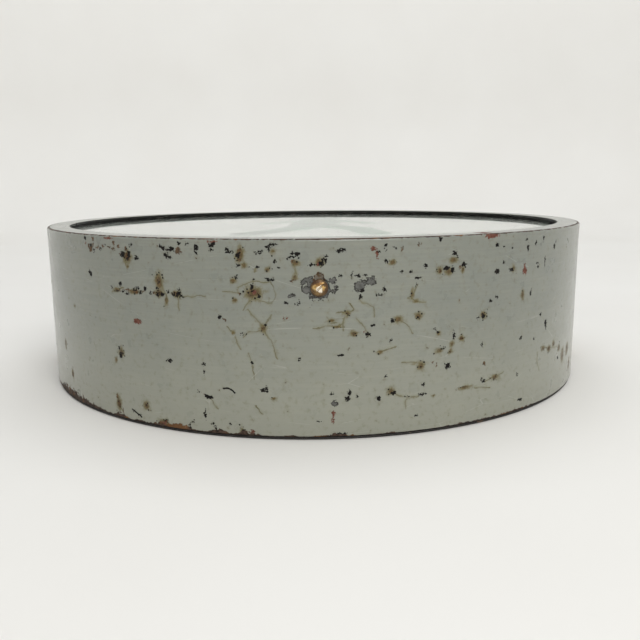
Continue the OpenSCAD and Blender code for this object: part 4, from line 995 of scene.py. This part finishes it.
def make_band_screws(material):
    """The round-head screws in the band, with dented crowns and a slot that has lost its edges."""
    rng = random.Random(11)
    shapes = []
    for angle in SCREW_ANGLES:
        profile = [(r * MM, z * MM) for r, z in screw_profile()]
        mesh = closed_lathe("screw", profile, np.radians(np.arange(0, 360, 5)))
        screw = link("screw", mesh)
        slot_low = (-HEAD_R_MM - 1, -SLOT_SIDE_MM, SLOT_FLOOR_MM)
        slot_high = (HEAD_R_MM + 1, SLOT_SIDE_MM, HEAD_H_MM + 1)
        slot = box_shape([level * MM for level in slot_low], [level * MM for level in slot_high])
        slot_turn = Matrix.Rotation(math.radians(rng.uniform(30, 60)), 3, "Z")
        bmesh.ops.rotate(slot, verts=slot.verts, matrix=slot_turn)
        cut(screw, [slot])
        shape = bmesh.new()
        shape.from_mesh(screw.data)
        bpy.data.objects.remove(screw)
        phases = [rng.uniform(0, 6.3) for _ in range(3)]
        for vert in shape.verts:
            if vert.co.z > DENTED_FROM_MM * MM:
                x = vert.co.x / MM
                y = vert.co.y / MM
                dent = math.sin(2.1 * x + phases[0]) * math.sin(1.8 * y + phases[1])
                dent += math.sin(3.3 * y + phases[2])
                vert.co.z -= CROWN_DENT_MM * MM * (2 + dent)
        stand = Matrix.Rotation(math.radians(90), 3, "X")
        turn = Matrix.Rotation(math.radians(angle), 3, "Z")
        seat = (0, -DRUM_R_MM * MM, (FRONT_MM - SCREW_DROP_MM) * MM)
        bmesh.ops.rotate(shape, verts=shape.verts, matrix=stand)
        bmesh.ops.translate(shape, verts=shape.verts, vec=seat)
        bmesh.ops.rotate(shape, verts=shape.verts, matrix=turn)
        shapes.append(shape)
    piece = link("band_screws", joined(shapes, "band_screws"))
    mesh = piece.data
    mesh.materials.clear()
    mesh.materials.append(material)
    place = np.zeros(len(mesh.vertices) * 3)
    mesh.vertices.foreach_get("co", place)
    place = place.reshape(-1, 3) / MM
    angle = np.degrees(np.arctan2(place[:, 0], -place[:, 1]))
    nearest = [across_mm(angle, screw) for screw in SCREW_ANGLES]
    across = np.min(np.abs(nearest), axis=0)
    rise = place[:, 2] - (FRONT_MM - SCREW_DROP_MM)
    save_field(mesh, "from_middle", np.hypot(across, rise) / HEAD_R_MM)
    save_field(mesh, "rise", rise / HEAD_R_MM)
    mesh.shade_smooth()
    mesh.set_sharp_from_angle(angle=math.radians(35))
    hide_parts("side_screws")
    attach(piece, "cover")


# ---- The other CAD nodes ----

# Width of the rounding along a node's edges, in millimetres. The hinge's moving leaf, the lugs and the
# terminal block have none, because their curved faces and small holes shade wrongly with it.
ROUNDED_MM = {
    "back_plate": 0.25, "rim_hoop": 0.25, "edge_seal": 0.15, "cable_grommet": 0.4,
    "hinge_fixed_leaf": 0.25, "hinge_pin": 0.25, "plate_rivets": 0.2, "cover_rivets": 0.2,
    "clamp_strap_left": 0.3, "clamp_strap_right": 0.3, "strap_nuts": 0.3, "front_gasket": 0.2,
    "front_glass": 0.4, "lamp_holder_left": 0.8, "lamp_holder_right": 0.8,
    "clamp_screw_left": 0.1, "clamp_screw_right": 0.1,
}


def finish_nodes(materials):
    slot_of = {part["node"]: part["material_slot"] for part in frame["record"]["subparts"]}
    for name, node in nodes.items():
        for slot in node.material_slots:
            slot.material = materials[slot_of[name]]
        if name in ROUNDED_MM:
            weld = node.modifiers.new("weld", "WELD")
            weld.merge_threshold = 0.00001
            bevel = node.modifiers.new("rounding", "BEVEL")
            bevel.width = ROUNDED_MM[name] * MM
            bevel.segments = 2
            bevel.limit_method = "ANGLE"
            bevel.angle_limit = math.radians(40)
            bevel.harden_normals = True


# ---- Build ----

scene.view_settings.view_transform = "Standard"
make_camera()
make_floor()
make_light()
materials = make_materials()
make_cover(materials["grey_paint"])
make_band_screws(materials["brass"])
finish_nodes(materials)
